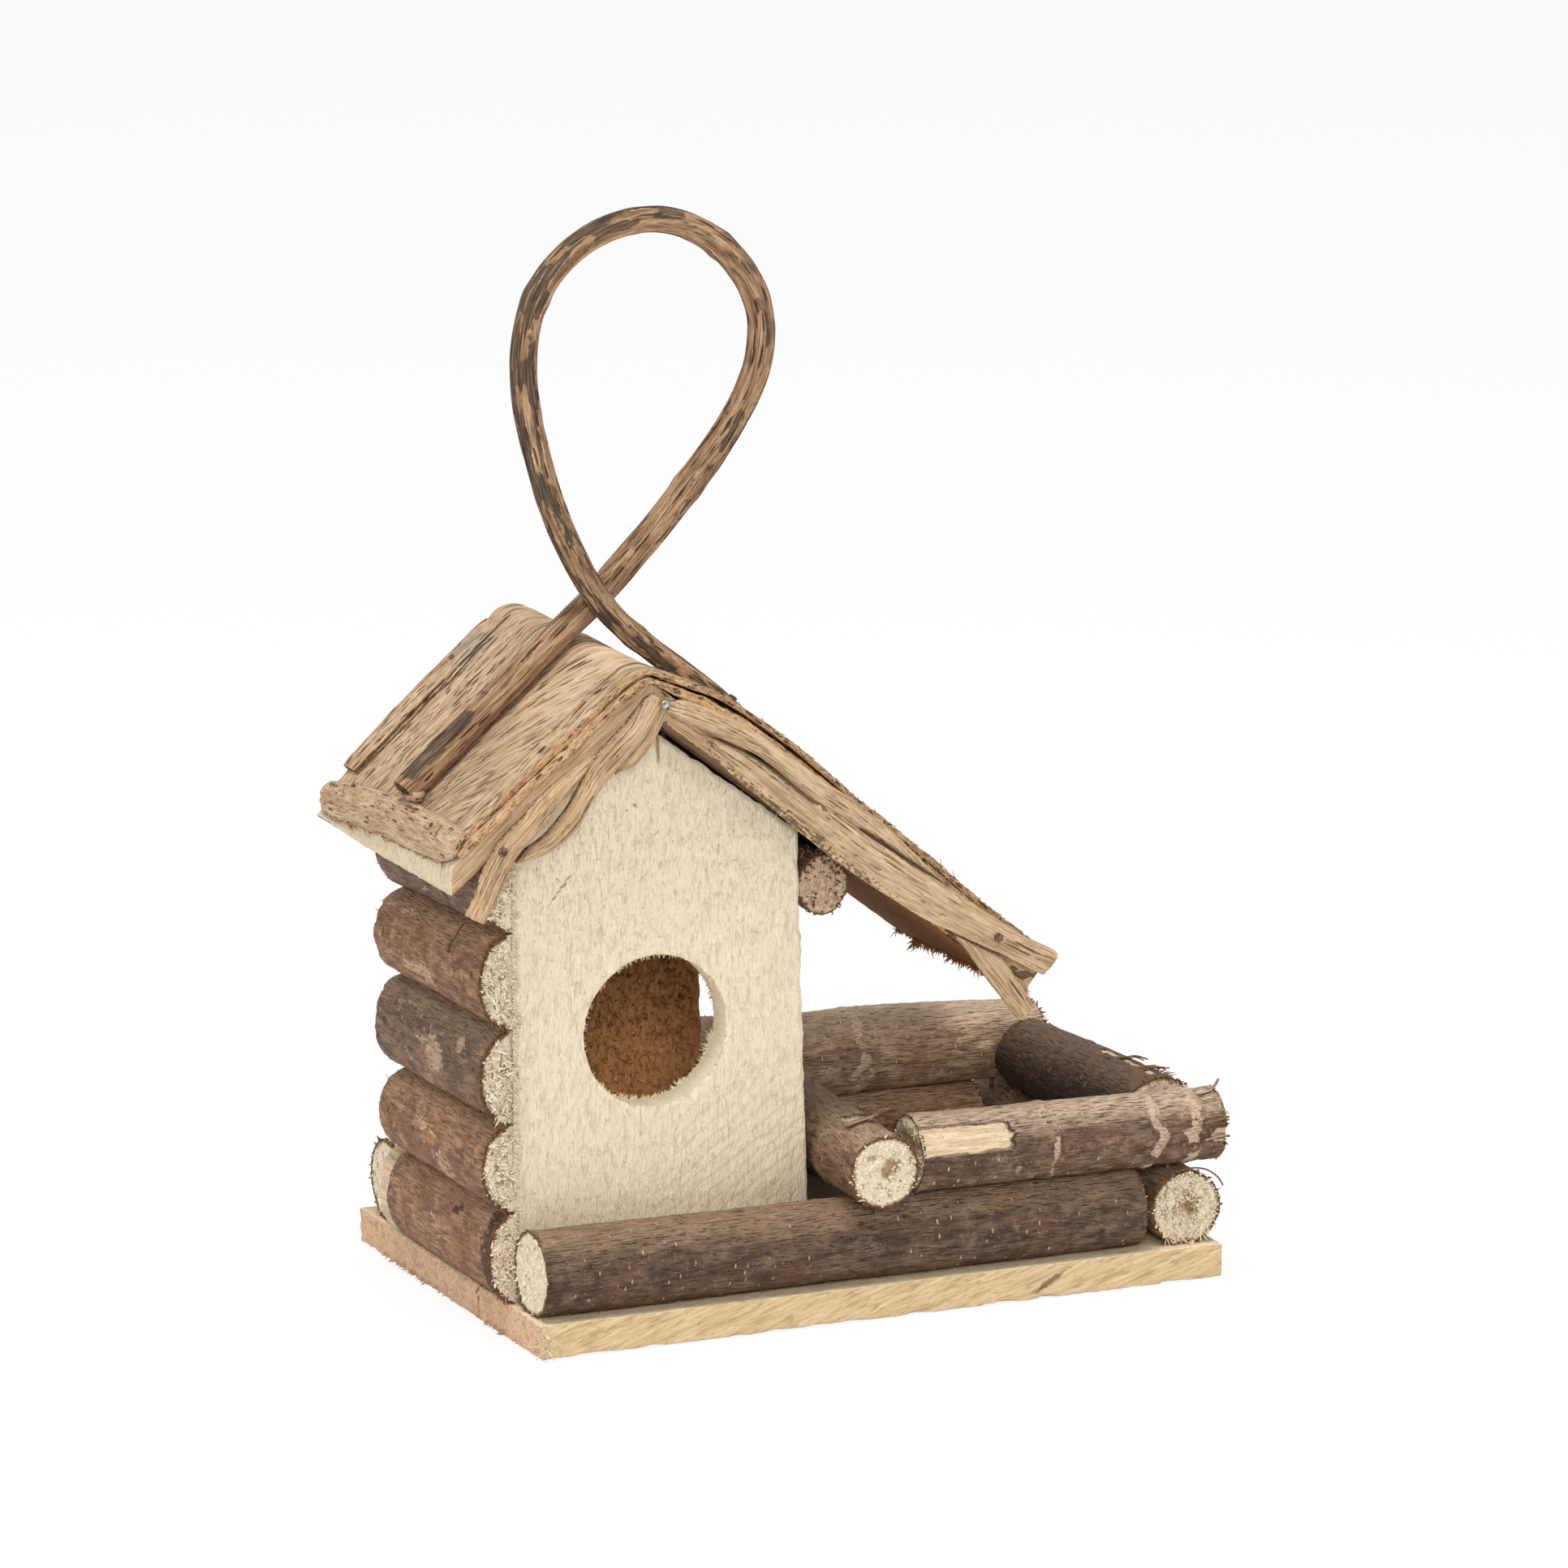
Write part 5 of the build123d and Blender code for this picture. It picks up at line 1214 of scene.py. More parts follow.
def make_roof_boards():
    piece = Piece()
    deep = ROOF_REAR - ROOF_FRONT

    def left_place(u, v, w):
        lift = w - LEFT_THICK
        eave = (RIDGE[0] - EAVE_X - lift * math.sin(LEFT_DIP)) / math.cos(LEFT_DIP)
        start = -lift * math.tan(math.radians(0.6)) + 0.05
        down = start + (eave - start) * u / EAVE_DOWN
        y = ROOF_FRONT + v
        drop = rear_sag(down, y) * np.clip(w / LEFT_THICK, 0, 1)
        thin = 1.9 * ease(-5, 38, y) * ease(38, 60, down) * (1 - np.clip(w / LEFT_THICK, 0, 1))
        return with_depth(left_spot(down, lift - drop + thin), y)

    slab(piece, (EAVE_DOWN, deep, LEFT_THICK), left_place, 1.0, 0.7, 0.1, 60, (0, 0, 2, 0, 1, 0))
    piece.make("left_board", "sawn_pine", [BOARD_WOOD, SHADED_UNDER_WOOD, LEFT_TWIG], "left_roof_board")
    piece = Piece()

    def right_place(u, v, w):
        lift = w - RIGHT_THICK
        long = RIGHT_LONG - EAVE_SKEW * (1 - v / deep)
        start = -lift * 0.02 + 0.05
        down = start + (long - start) * u / RIGHT_LONG
        return with_depth(right_spot(down, lift), ROOF_FRONT + v)

    def right_marks(u, v, w):
        # Painted shade: the underside darkened near the front, in the gap above the front panel, and
        # blotches on the front face behind the twigs.
        stain_and_shade = 0.95 * ease(2.0, 0.9, w + 0.5 * rough(u / 9, 0, 0, 65, 2)) * ease(92, 66, u)
        stain_and_shade = stain_and_shade * (v < np.where(w < 0.3, 16.0, 1.6))
        stain_and_shade = np.maximum(stain_and_shade, 0.75 * ease(0.35, 0.75, rough(u / 5, w / 2.2, 0, 66, 3)) * (v < 1.0))
        return columns(stain_and_shade, 0, 0)

    slab(piece, (RIGHT_LONG, deep, RIGHT_THICK), right_place, 1.0, 0.6, 0.1, 61, (0, 0, 3, 0, 1, 0),
         right_marks)
    draw = np.random.default_rng(62)
    count = 1000
    v = draw.uniform(0, deep, count)
    thick = 0.55 + 0.45 * rough(v / 6, 0, 0, 63, 2)
    roots = right_place(np.full(count, RIGHT_LONG - 0.3), v, draw.uniform(0.1, 0.7, count))
    ways = columns(draw.normal(-0.1, 0.5, count), draw.normal(0, 0.5, count),
                   -draw.uniform(0.4, 1.0, count))
    slivers(piece, roots, ways, draw.uniform(0.8, 3.4, count) * np.clip(thick, 0.25, 1),
            draw.uniform(0.25, 0.7, count), 64, 2, 0.6)
    piece.make("right_board", "sawn_pine", [BOARD_WOOD, SHADED_UNDER_WOOD, WARM_LIT_FRINGE_FIBRE, LEFT_TWIG],
               "right_roof_board")


def bark_grain(run, y):
    """Fibres that run up the slope near the rear and lean towards the front lower down."""
    down = np.clip(EAVE_DOWN - run, 0, None)
    lean = 0.72 * ease(4.0, -30.0, y) * ease(-34.6, -33.4, y)
    cross = y - lean * (down - 8.0)
    return columns(run / np.sqrt(1 + lean ** 2), cross / np.sqrt(1 + lean ** 2), 0)


def make_bark():
    total = FLAT_RUN + BEND_RUN + BOW_RUN
    sheets = (("under_bark", "lower_bark", 0.0, -43.1, 37.6, 200, 1),
              ("roof_bark_sheet", "top_bark", SHEET, -41.6, 37.9, 220, 0))
    for name, node, low, front, rear, seed, top_look in sheets:
        piece = Piece()

        def place(u, v, w):
            share = v / (rear - front)
            skew = EAVE_SKEW * (1 - share) * ease(0.5 * total, total, u)
            torn = 0.5 * rough(v / 4, u / 40, 0, seed + 1, 2) * ease(3, 0, np.minimum(u, total - u))
            run = u - skew + torn
            edge = ease(3.0, 0.0, v) - ease(3.0, 0.0, (rear - front) - v)
            y = front + v + edge * 0.6 * rough(u / 7, 0, share * 5, seed + 2, 3)
            lines = bark_grain(run, y)
            furrow = (0.24 * rough(lines[..., 0] / 9, lines[..., 1] / 1.1, 0, seed + 3, 2)
                      + 0.12 * rough(u / 14, y / 12, 0, seed + 4))
            furrow = furrow + 0.10 * rough(lines[..., 0] / 3, lines[..., 1] / 1.6, 3, seed + 5, 2)
            top = ease(0.7, 1.0, w / SHEET)
            curl = 0.25 * edge * rough(u / 11, 3, share * 5, seed + 6, 2)
            left = ease(FLAT_RUN, FLAT_RUN - 8, run)
            band = 0.45 * ease(-33.4, -34.4, y + 0.5 * rough(u / 9, 0, 0, seed + 7, 2)) * left * top
            roll = 1.3 * ease(32.5, 38.5, y) ** 2 * left
            lift = low + w * 0.96 + top * (furrow - 0.4) * 1.1 + band - roll + np.minimum(curl, 0)
            return bark_spot(run, y, lift)

        def grain(u, v, w):
            lines = bark_grain(u, front + v)
            lines[..., 2] = w
            return lines

        def marks(u, v, w):
            y = front + v
            down = EAVE_DOWN - u
            crack = 1.1 * np.exp(-((y - 28.6 - 0.9 * rough(u / 9, 0, 0, 7, 2)) / 0.8) ** 2)
            crack = crack * (down > 8) * (rough(u / 13, 1, 0, 8) > -0.35)
            seam = np.exp(-((y + 33.7 + 0.5 * rough(u / 9, 0, 0, seed + 7, 2)) / 0.4) ** 2)
            crack = 0.75 * crack + 0.72 * seam * (down > 6)
            grey = np.exp(-((down - 12) / 7) ** 2 - ((y - 30) / 5) ** 2) * 0.9
            pale = 0.7 * np.exp(-((down - 14) / 14) ** 2 - ((y + 26) / 12) ** 2)
            pale = pale + 0.5 * ease(6, 0, np.abs(down))
            return columns(crack, grey, pale)

        slab(piece, (total, rear - front, SHEET), place, 0.5, 0.35, 0.05, seed, (1, 1, 1, 1, 1, top_look),
             marks, grain)
        draw = np.random.default_rng(seed)
        count = 700
        u, w = draw.uniform(2, total - 3, count), draw.uniform(0.2, SHEET - 0.2, count)
        roots = place(u, np.full(count, 0.25), w)
        ahead = place(np.clip(u + 1.5, 0, total), np.full(count, 0.25), w) - roots
        ways = unit(ahead) * np.where(draw.random(count) < 0.5, 1, -1)[:, None]
        ways = ways + np.array([0, -0.45, 0]) + draw.normal(0, 0.2, (count, 3))
        spray(piece, draw, roots, ways, (0.6, 2.2), (0.14, 0.36), seed + 9, 1, 0.3)
        piece.make(name, "roof_bark", [ROOF_BARK, ROOF_EDGE], node)


def make_strips():
    """Bark strips along the left eave and the left slope's rear edge."""
    piece = Piece()
    deep = ROOF_REAR - ROOF_FRONT
    y = np.linspace(ROOF_FRONT - 0.6, ROOF_REAR, int(deep / 0.55))
    corner = left_spot(np.array(EAVE_DOWN), np.array(2 * SHEET))
    hang = (np.interp(y, [-43, -34, -20, 0, 38], [-1.2, 0.0, 0.8, 1.2, 0.9])
            + 0.5 * rough(y / 5, 0, 0, 73, 3))
    profile = []
    crown = np.interp(y, [-43, -20, 10, 30, 38], [1.0, 0.95, 0.8, 0.6, 0.35])
    for over, tall in zip(hang, crown):
        profile.append(loop_line([(4.6, 2.9 * tall), (3.2, 3.9 * tall), (1.4, 3.2 * tall),
                                  (0.15, 1.5 * tall), (-0.36, -1.2), (-0.36, -4.5 - over),
                                  (0.5, -4.3 - over), (2.4, 0.6)], 52))
    profile = np.array(profile)
    middle = profile.mean(1, keepdims=True)
    past = np.clip(np.where(y < 0, (-36.5 - y) / 7.0, (y - 32.0) / 6.5), 0, 1)
    taper = np.sqrt(np.clip(1 - past ** 3, 0.05, 1))
    profile = middle + (profile - middle) * taper[:, None, None]
    s = np.broadcast_to(y[:, None], profile.shape[:2])
    a = np.broadcast_to(all_round(52), s.shape)
    bump = (0.26 * rough(s / 6, profile[..., 0], profile[..., 1], 71, 3)
            + 0.2 * rough(s / 14, profile[..., 0] * 2.2, profile[..., 1] * 2.2, 72, 2))
    profile = profile + unit(profile - middle) * bump[..., None]
    sag = rear_sag(np.full(s.shape, EAVE_DOWN), s)
    across, high = corner[0] + profile[..., 0], corner[1] + profile[..., 1] - sag
    points = columns(across, s + 0.4 * rough(a * 2, 0, 0, 79, 2), high)
    core = columns(corner[0] + middle[..., 0] + 0 * s, s, corner[1] + middle[..., 1] - sag)
    grain = columns(s, profile[..., 0], profile[..., 1])
    marks = np.zeros(points.shape)
    marks[..., 0] = 0.7 * ease(0.5, 0.9, rough(s / 7, profile[..., 0] * 1.5, profile[..., 1] * 1.5, 74, 3))
    slit = np.exp(-((s + 33.5) / 0.45) ** 2) * np.exp(-((profile[..., 1] - 1.5) / 1.6) ** 2)
    paint(marks, 0, 1.1 * slit)
    marks[..., 2] = 0.8 * ease(0.2, 0.7, rough(s / 10, profile[..., 0], profile[..., 1], 70, 2))
    piece.strip(points, grain, points - core, 0, marks, True)
    for k, out in ((0, -1.0), (-1, 1.0)):
        cut_end(piece, points[k], np.array([0, out, 0]), 0, s[k, 0], profile[k], 75, 5, 0.2)
    draw = np.random.default_rng(76)
    count = 320
    root_y = draw.uniform(ROOF_FRONT + 4, ROOF_REAR - 7, count)
    low = draw.random(count) < 0.6
    over = np.interp(root_y, y, hang)
    root_z = (corner[1] - rear_sag(np.full(count, EAVE_DOWN), root_y)
              + np.where(low, -4.3 - over, draw.uniform(-3, 3.4, count)))
    roots = columns(np.where(low, -101.0, corner[0] + np.where(draw.random(count) < 0.5, -0.3, 3.6)),
                    root_y, root_z)
    ways = columns(draw.normal(0.15, 0.3, count), draw.choice([-1.0, 1.0], count),
                   draw.normal(-0.25, 0.4, count))
    spray(piece, draw, roots, ways, (0.6, 2.4), (0.25, 0.7), 77, 1, 0.4)
    # Crumbled bark against the end of the handle's tail.
    for k in range(16):
        lump = left_spot(np.array(EAVE_DOWN - 5.6 - draw.uniform(0, 2.6)),
                         np.array(4.0 + draw.uniform(0, 2.0)))
        centre = np.array([lump[0], -9.3 + draw.normal(0, 1.7), lump[1]])
        ball, up = np.meshgrid(all_round(10), np.linspace(-1.35, 1.35, 6), indexing="xy")
        size = draw.uniform(0.8, 1.7)
        ways = columns(np.cos(ball) * np.cos(up) * 1.2, np.sin(ball) * np.cos(up), np.sin(up) * 0.8)
        lumpy = 1 + 0.3 * rough(ways[..., 0] * 2, ways[..., 1] * 2, ways[..., 2] * 2 + k, 78)
        net = centre + ways * (size * lumpy)[..., None]
        cap = np.concatenate([net[:1].mean(1, keepdims=True).repeat(10, 1), net], 0)
        piece.strip(cap, cap, cap - centre, 0, None, True, net[-1].mean(0))
    piece.make("eave_band", "roof_bark", [CRUMBLY, ROOF_EDGE], "eave_strip")

    piece = Piece()
    far = np.linspace(5.5, EAVE_DOWN - 5.6, 90)
    turn = all_round(46)
    s, a = grid(far, turn)
    bump = 0.28 * rough(s / 6, np.cos(a) * 2, np.sin(a) * 2, 81, 3)
    taper = np.sqrt(np.clip(1 - np.clip((np.abs(s - 29.2) - 20) / 5, 0, 1) ** 2, 0.02, 1))
    side_y = 33.6 + (4.2 + bump) * np.cos(a) * (0.35 + 0.65 * taper)
    proud = (0.3 + 0.75 * ease(10, 34, s)) * taper
    top = 3.55 + np.where(np.sin(a) > 0, (1.0 + bump) * np.abs(np.sin(a)) ** 0.7 * proud, 1.2 * np.sin(a))
    points = with_depth(left_spot(s, top - rear_sag(s - BEND_DOWN, side_y)), np.minimum(side_y, 37.95))
    core = with_depth(left_spot(s, 3.4 - rear_sag(s - BEND_DOWN, 33.6 + 0 * s)), 33.6)
    grain = columns(s, 4.2 * np.cos(a), np.sin(a))
    marks = np.zeros(points.shape)
    marks[..., 0] = (0.75 * np.exp(-((a - np.pi) / 0.35) ** 2)
                     * ease(20, 28, s + 5 * rough(s / 6, 0, 0, 84, 2)))
    marks[..., 1] = (0.75 * np.exp(-((s - 14) / 6) ** 2)
                     + 0.35 * rough(s / 3, np.cos(a) * 2, np.sin(a) * 2, 85, 2) * ease(30, 20, s))
    piece.strip(points, grain, points - core, 0, marks, True)
    for k, out in ((0, 1.0), (-1, -1.0)):
        way = out * np.array([math.cos(LEFT_DIP), 0, math.sin(LEFT_DIP)])
        cut_end(piece, points[k], way, 0, s[k, 0], points[k][:, [1, 2]], 82, 4, 0.1)
    piece.make("rear_band", "roof_bark", [ROOF_BARK], "rear_strip")


# Split twigs on the roof's front edge.

def split_twig(piece, spots, layers, seed, thick=3.0, ends=((0.7, 2.0), (0.7, 2.0)), over=None, dirt_and_shade=0.0,
               droop=0.0):
    """A split twig laid against the roof's front, given as (x, z, width).

    It is flat behind, ridged and rounded in front. over is the twig that lies over it, dirt_and_shade is how
    far it is marked with dark blotches and darkened below as painted shade, and droop is how far its lower
    side slopes back."""
    line, far = smooth_line(np.column_stack([spots, layers]), 0.55)
    x, z, wide, back = line.T
    tangent = unit(columns(np.gradient(x), np.gradient(z)))
    normal = columns(-tangent[:, 1], tangent[:, 0])
    s, a = grid(far, all_round(84))
    (a0, l0), (a1, l1) = ends
    blunt = np.minimum(a0 + (1 - a0) * ease(0, l0, far), a1 + (1 - a1) * ease(0, l1, far[-1] - far))
    half = (wide / 2 * blunt * (1 + 0.06 * rough(far / 9, 0, 0, seed, 2)))[:, None]
    n = half * np.sign(np.cos(a)) * np.abs(np.cos(a)) ** 0.85
    front = np.where(np.sin(a) > 0, np.abs(np.sin(a)) ** 0.8, 0)
    wave = n / 0.9 + 0.9 * rough(s / 30, n / 3.0, 0, seed + 1, 2)
    groove = np.abs((wave % 1.0) - 0.5) * 2
    cleft = (ease(0.62, 1.0, groove)
             * (0.45 + 0.55 * ease(-0.3, 0.5, rough(s / 18, np.floor(wave), 0, seed + 2))))
    ridge = -0.42 * cleft + 0.2 * rough(s / 9, n / 0.6, 0, seed + 3, 2)
    depth = (thick * blunt[:, None] - 0.15) * front + ridge * np.clip((front - 0.2) * 4, 0, 1)
    depth = np.clip(depth + 0.3 * rough(s / 10, n / 2.6, 0, seed + 4) * front, 0, thick)
    depth = depth * (1 - droop * ease(0.35, -1.0, n / half))
    flat = columns(x[:, None] + normal[:, :1] * n, z[:, None] + normal[:, 1:] * n)
    crease = np.zeros_like(depth)
    if over is not None:
        cover, _ = smooth_line(over, 1.0)
        for cx, cz, wide_cover in cover:
            away = np.hypot(flat[..., 0] - cx, flat[..., 1] - cz) - wide_cover / 2
            crease = np.maximum(crease, ease(1.3, 0.1, away))
        depth = depth * (1 - 0.45 * crease)
    points = columns(flat[..., 0], back[:, None] - depth, flat[..., 1])
    core = columns(x, back - thick * 0.4, z)[:, None]
    grain = columns(s + 17.0 * seed, n, depth)
    marks = np.zeros(points.shape)
    marks[..., 0] = np.maximum(0.75 * cleft * (front > 0.2), 0.52 * ease(0.86, 1.0, np.abs(np.cos(a))))
    # Painted shade in the crease under the twig that lies over it.
    paint(marks, 0, crease)
    if dirt_and_shade:
        soiled_and_shaded = 0.72 * ease(0.15, 0.7, rough(s / 6, n / 2.4, 0, seed + 9, 3)) * ease(dirt_and_shade, 0.6 * dirt_and_shade, s)
        # Painted shade on the lower side, a little further along than the blotches.
        soiled_and_shaded = np.maximum(soiled_and_shaded, 0.5 * ease(0.0, 0.8, -n / half) * ease(1.5 * dirt_and_shade, 0.9 * dirt_and_shade, s))
        paint(marks, 0, soiled_and_shaded)
    marks[..., 1] = 0.45 * ease(0.3, 0.8, rough(s / 14, n / 2.0, 0, seed + 5, 2))
    marks[..., 2] = 0.9 * ease(0.2, 0.7, rough(s / 12, n / 1.4, 0, seed + 6, 2))
    piece.strip(points, grain, points - core, 0, marks, True)
    for k, out in ((0, -tangent[0]), (-1, tangent[-1])):
        way, cross = np.array([out[0], 0, out[1]]), columns(n[k], depth[k])
        cut_end(piece, points[k], way, 0, s[k, 0], cross, seed + 7, 4, 0.25)


def right_rows(spots):
    """Spots of a twig on the right slope, given as (down, lift, width)."""
    return [(*right_spot(np.array(down), np.array(lift)), wide) for down, lift, wide in spots]


def make_twigs():
    back, front = ROOF_FRONT, ROOF_FRONT - 3.3
    hanging = [(-65.0, 135.0, 2.6), (-71.4, 130.0, 3.8), (-77.2, 125.0, 5.4), (-82.8, 119.6, 5.6),
               (-87.3, 115.6, 5.5), (-90.4, 110.7, 5.7), (-92.9, 105.1, 5.6), (-95.6, 100.0, 5.5)]
    piece = Piece()
    split_twig(piece, [(-51.2, 146.6, 4.6), (-56.0, 139.8, 6.2), (-61.3, 134.9, 5.9), (-65.1, 131.1, 5.6),
                       (-68.9, 125.7, 4.8), (-72.1, 120.8, 5.0), (-77.7, 115.9, 4.0), (-85.7, 112.5, 2.2)],
               [back] * 8, 401, over=hanging[2:])
    split_twig(piece, [(-49.9, 144.6, 2.6), (-53.4, 138.2, 3.4), (-57.4, 133.4, 3.4), (-61.5, 130.0, 2.4)],
               [back - 0.3] * 4, 411, 2.6, ends=((0.8, 2.0), (0.3, 5.0)))
    piece.make("left_gable_split_twig", "split_twig", [LEFT_TWIG], "left_gable_twig")
    piece = Piece()
    split_twig(piece, hanging, [back + 1.8, back + 1.2, back + 0.2] + [back - 0.5] * 5, 402, 2.9,
               ends=((0.6, 5.0), (0.95, 0.8)))
    piece.make("left_hanging_split_twig", "split_twig", [LEFT_TWIG], "left_hanging_twig")
    hanging = right_rows([(7.4, -2.4, 4.4), (12.4, -0.7, 5.0), (22.1, 1.4, 5.2), (31.7, 2.6, 4.6),
                          (40.4, 2.6, 4.6), (49.5, 2.3, 5.2), (59.5, 2.5, 5.6), (69.8, 2.0, 5.8),
                          (79.9, 0.8, 5.8), (89.2, -0.6, 5.6), (97.6, -2.5, 5.6), (106.0, -4.9, 5.6),
                          (116.0, -7.6, 5.6), (126.0, -10.5, 5.4)])
    gable = right_rows([(16.0, -3.4, 2.4), (24.6, -3.4, 5.0), (34.8, -3.2, 6.8), (45.0, -3.2, 8.0),
                        (55.6, -3.5, 8.8), (66.4, -3.9, 9.2), (76.5, -3.6, 9.2), (87.7, -2.9, 8.8),
                        (99.6, -1.6, 7.4), (112.7, -0.1, 6.2), (122.6, 1.4, 6.2)])
    piece = Piece()
    split_twig(piece, hanging, [back] * 14, 403, ends=((0.6, 3.0), (0.95, 0.8)), over=gable[5:])
    piece.make("right_hanging_split_twig", "split_twig", [TWIG_WOOD], "right_hanging_twig")
    piece = Piece()
    layers = [back + 0.6, back + 0.6, back + 0.4, back, back - 0.6, back - 1.8, front + 0.5] + [front] * 4
    split_twig(piece, gable, layers, 404, ends=((0.3, 8.0), (0.95, 0.8)), over=hanging[:6], dirt_and_shade=60.0,
               droop=0.75)
    piece.make("right_gable_split_twig", "split_twig", [TWIG_WOOD], "right_gable_twig")


# Handle.

HANDLE_LINE = [(-98.5, -9.1, 122.3), (-88.3, -8.1, 130.6), (-76.6, -7.0, 140.0), (-65.0, -5.9, 149.5),
               (-57.2, -5.1, 155.8), (-49.3, -4.2, 161.9), (-42.9, -3.4, 167.8), (-35.2, -3.3, 175.5),
               (-28.2, -3.3, 183.4), (-21.5, -3.3, 191.3), (-15.6, -3.3, 199.3), (-10.9, -3.3, 207.3),
               (-8.9, -3.3, 212.8), (-8.0, -3.3, 218.3), (-8.4, -3.3, 223.9), (-10.2, -3.3, 229.6),
               (-15.8, -3.4, 237.8), (-24.0, -3.8, 244.1), (-32.2, -4.4, 247.1), (-40.3, -5.0, 247.4),
               (-48.5, -5.6, 245.7), (-56.7, -6.2, 241.3), (-61.8, -6.6, 236.6), (-66.3, -6.9, 228.7),
               (-68.3, -7.3, 217.9), (-67.6, -7.8, 206.8), (-65.3, -8.4, 195.7), (-62.1, -9.2, 184.4),
               (-57.4, -10.0, 173.0), (-52.2, -10.2, 163.7), (-48.5, -10.2, 158.9), (-43.9, -10.2, 154.4),
               (-37.6, -10.2, 149.2), (-28.9, -10.2, 142.6), (-19.7, -10.2, 135.2), (-12.5, -10.2, 128.6)]

# How much dark outer bark is left, by the way along the handle.
DARK_RUN = [(0, -0.6), (30, -0.4), (45, -0.38), (75, -0.33), (85, -0.22), (95, -0.08), (105, 0.04),
            (118, 0.0), (128, -0.35), (138, -0.2), (150, -0.12), (165, -0.08), (175, 0.08), (205, 0.2),
            (215, 0.25), (235, 0.08), (260, 0.12), (275, 0.02), (300, 0.02), (338, 0.08)]


def make_handle():
    piece = Piece()
    line, far = smooth_line(HANDLE_LINE, 0.55)
    for _ in range(60):
        line[1:-1] = 0.25 * line[:-2] + 0.5 * line[1:-1] + 0.25 * line[2:]
    tangent = unit(np.gradient(line, axis=0))
    side = unit(np.cross(tangent[0], (0, 1.0, 0)))
    sides = []
    for t in tangent:
        side = unit(side - t * (side @ t))
        sides.append(side)
    sides = np.array(sides)
    ups = np.cross(tangent, sides)
    s, a = grid(far, all_round(44))
    share = s / far[-1]
    radius = np.interp(share, [0, 0.2, 0.4, 0.55, 0.75, 0.9, 0.96, 1],
                       [3.45, 3.4, 3.3, 3.1, 3.05, 2.85, 2.5, 1.7])
    ca, sa = np.cos(a), np.sin(a)
    shape = 0.12 * rough(s / 14, 1.5 * ca, 1.5 * sa, 501, 2) - 0.12
    shape += 0.22 * rough(s / 24, 5.5 * ca, 5.5 * sa, 502, 2)
    shape += 0.06 * rough(s / 4, 8 * ca, 8 * sa, 503)
    for node in (96, 160, 214, 300):
        shape += 0.25 * np.exp(-((s - node) / 2.2) ** 2)
    thick = radius + shape
    points = (line[:, None] + sides[:, None] * (thick * ca)[..., None]
              + ups[:, None] * (thick * sa)[..., None])
    grain = columns(s, radius * ca, radius * sa)
    marks = np.zeros(points.shape)
    # Patches of dark outer bark, most of them on the outside of the loop.
    away = unit((line - np.array([-38.0, -6.0, 205.0])) * np.array([1.0, 0.0, 1.0]))[:, None]
    outer = ((points - line[:, None]) * away).sum(-1) / radius
    cover = np.interp(s, *np.transpose(DARK_RUN))
    cover = cover + 0.28 * outer * ease(60, 90, s) + 0.7 * rough(s / 5.5, 2.2 * ca, 2.2 * sa, 505, 4) - 0.06
    ragged = rough(s / 3.5, 2.2 * ca, 2.2 * sa, 506, 3)
    tail = (ease(-0.1, 0.1, 1 - np.abs(s - 13) / 11 + 0.3 * ragged)
            * ease(0.4, 0.75, sa * 0.2 + ca * 0.95 + 0.35 * ragged))
    marks[..., 1] = np.maximum(np.clip(0.5 + 1.7 * (cover - 0.1), 0, 1), tail)
    marks[..., 2] = 0.8 * ease(0.25, 0.6, rough(s / 30, 3 * ca, 3 * sa, 507, 2))
    marks[..., 0] = 0.75 * ease(0.5, 0.85, rough(s / 22, 3.2 * ca, 3.2 * sa, 508, 2))
    piece.strip(points, grain, points - line[:, None], 0, marks, True)
    for k, out in ((0, -tangent[0]), (-1, tangent[-1])):
        cut_end(piece, points[k], out, 0, s[k, 0], columns(radius[k] * ca[k], radius[k] * sa[k]), 509, 5,
                0.25, 0.3)
    piece.make("handle_twig", "handle_twig", [HANDLE_BARK], "handle")


# Nails.

def nail_head(piece, at, out, radius, high, seed, look):
    """A small hammered head on a short shank."""
    out = unit(out)
    side = unit(np.cross(out, (0.3, 0.2, 1.0)))
    up = np.cross(out, side)
    turn = all_round(28)
    rows = []
    ca, sa = np.cos(turn), np.sin(turn)
    for reach, height in ((0.45, -2.2), (0.45, -0.1), (0.96, -0.05), (1.0, 0.25 * high), (0.97, 0.7 * high),
                          (0.8, 0.95 * high), (0.5, 1.0 * high), (0.2, 0.97 * high)):
        r = radius * reach * (1 + 0.05 * rough(ca * 2, sa * 2, 0, seed))
        lift = np.full(turn.shape, height)
        if height > 0.5 * high:
            lift = lift + 0.10 * rough(ca * reach * 2, sa * reach * 2, 1, seed + 1)
        rows.append(np.asarray(at) + side * (r * ca)[:, None] + up * (r * sa)[:, None]
                    + out * lift[:, None])
    net = np.array(rows)
    axis = np.asarray(at, float) - out * 0.6
    piece.strip(net, net, net - axis, look, None, True, net[-1].mean(0))


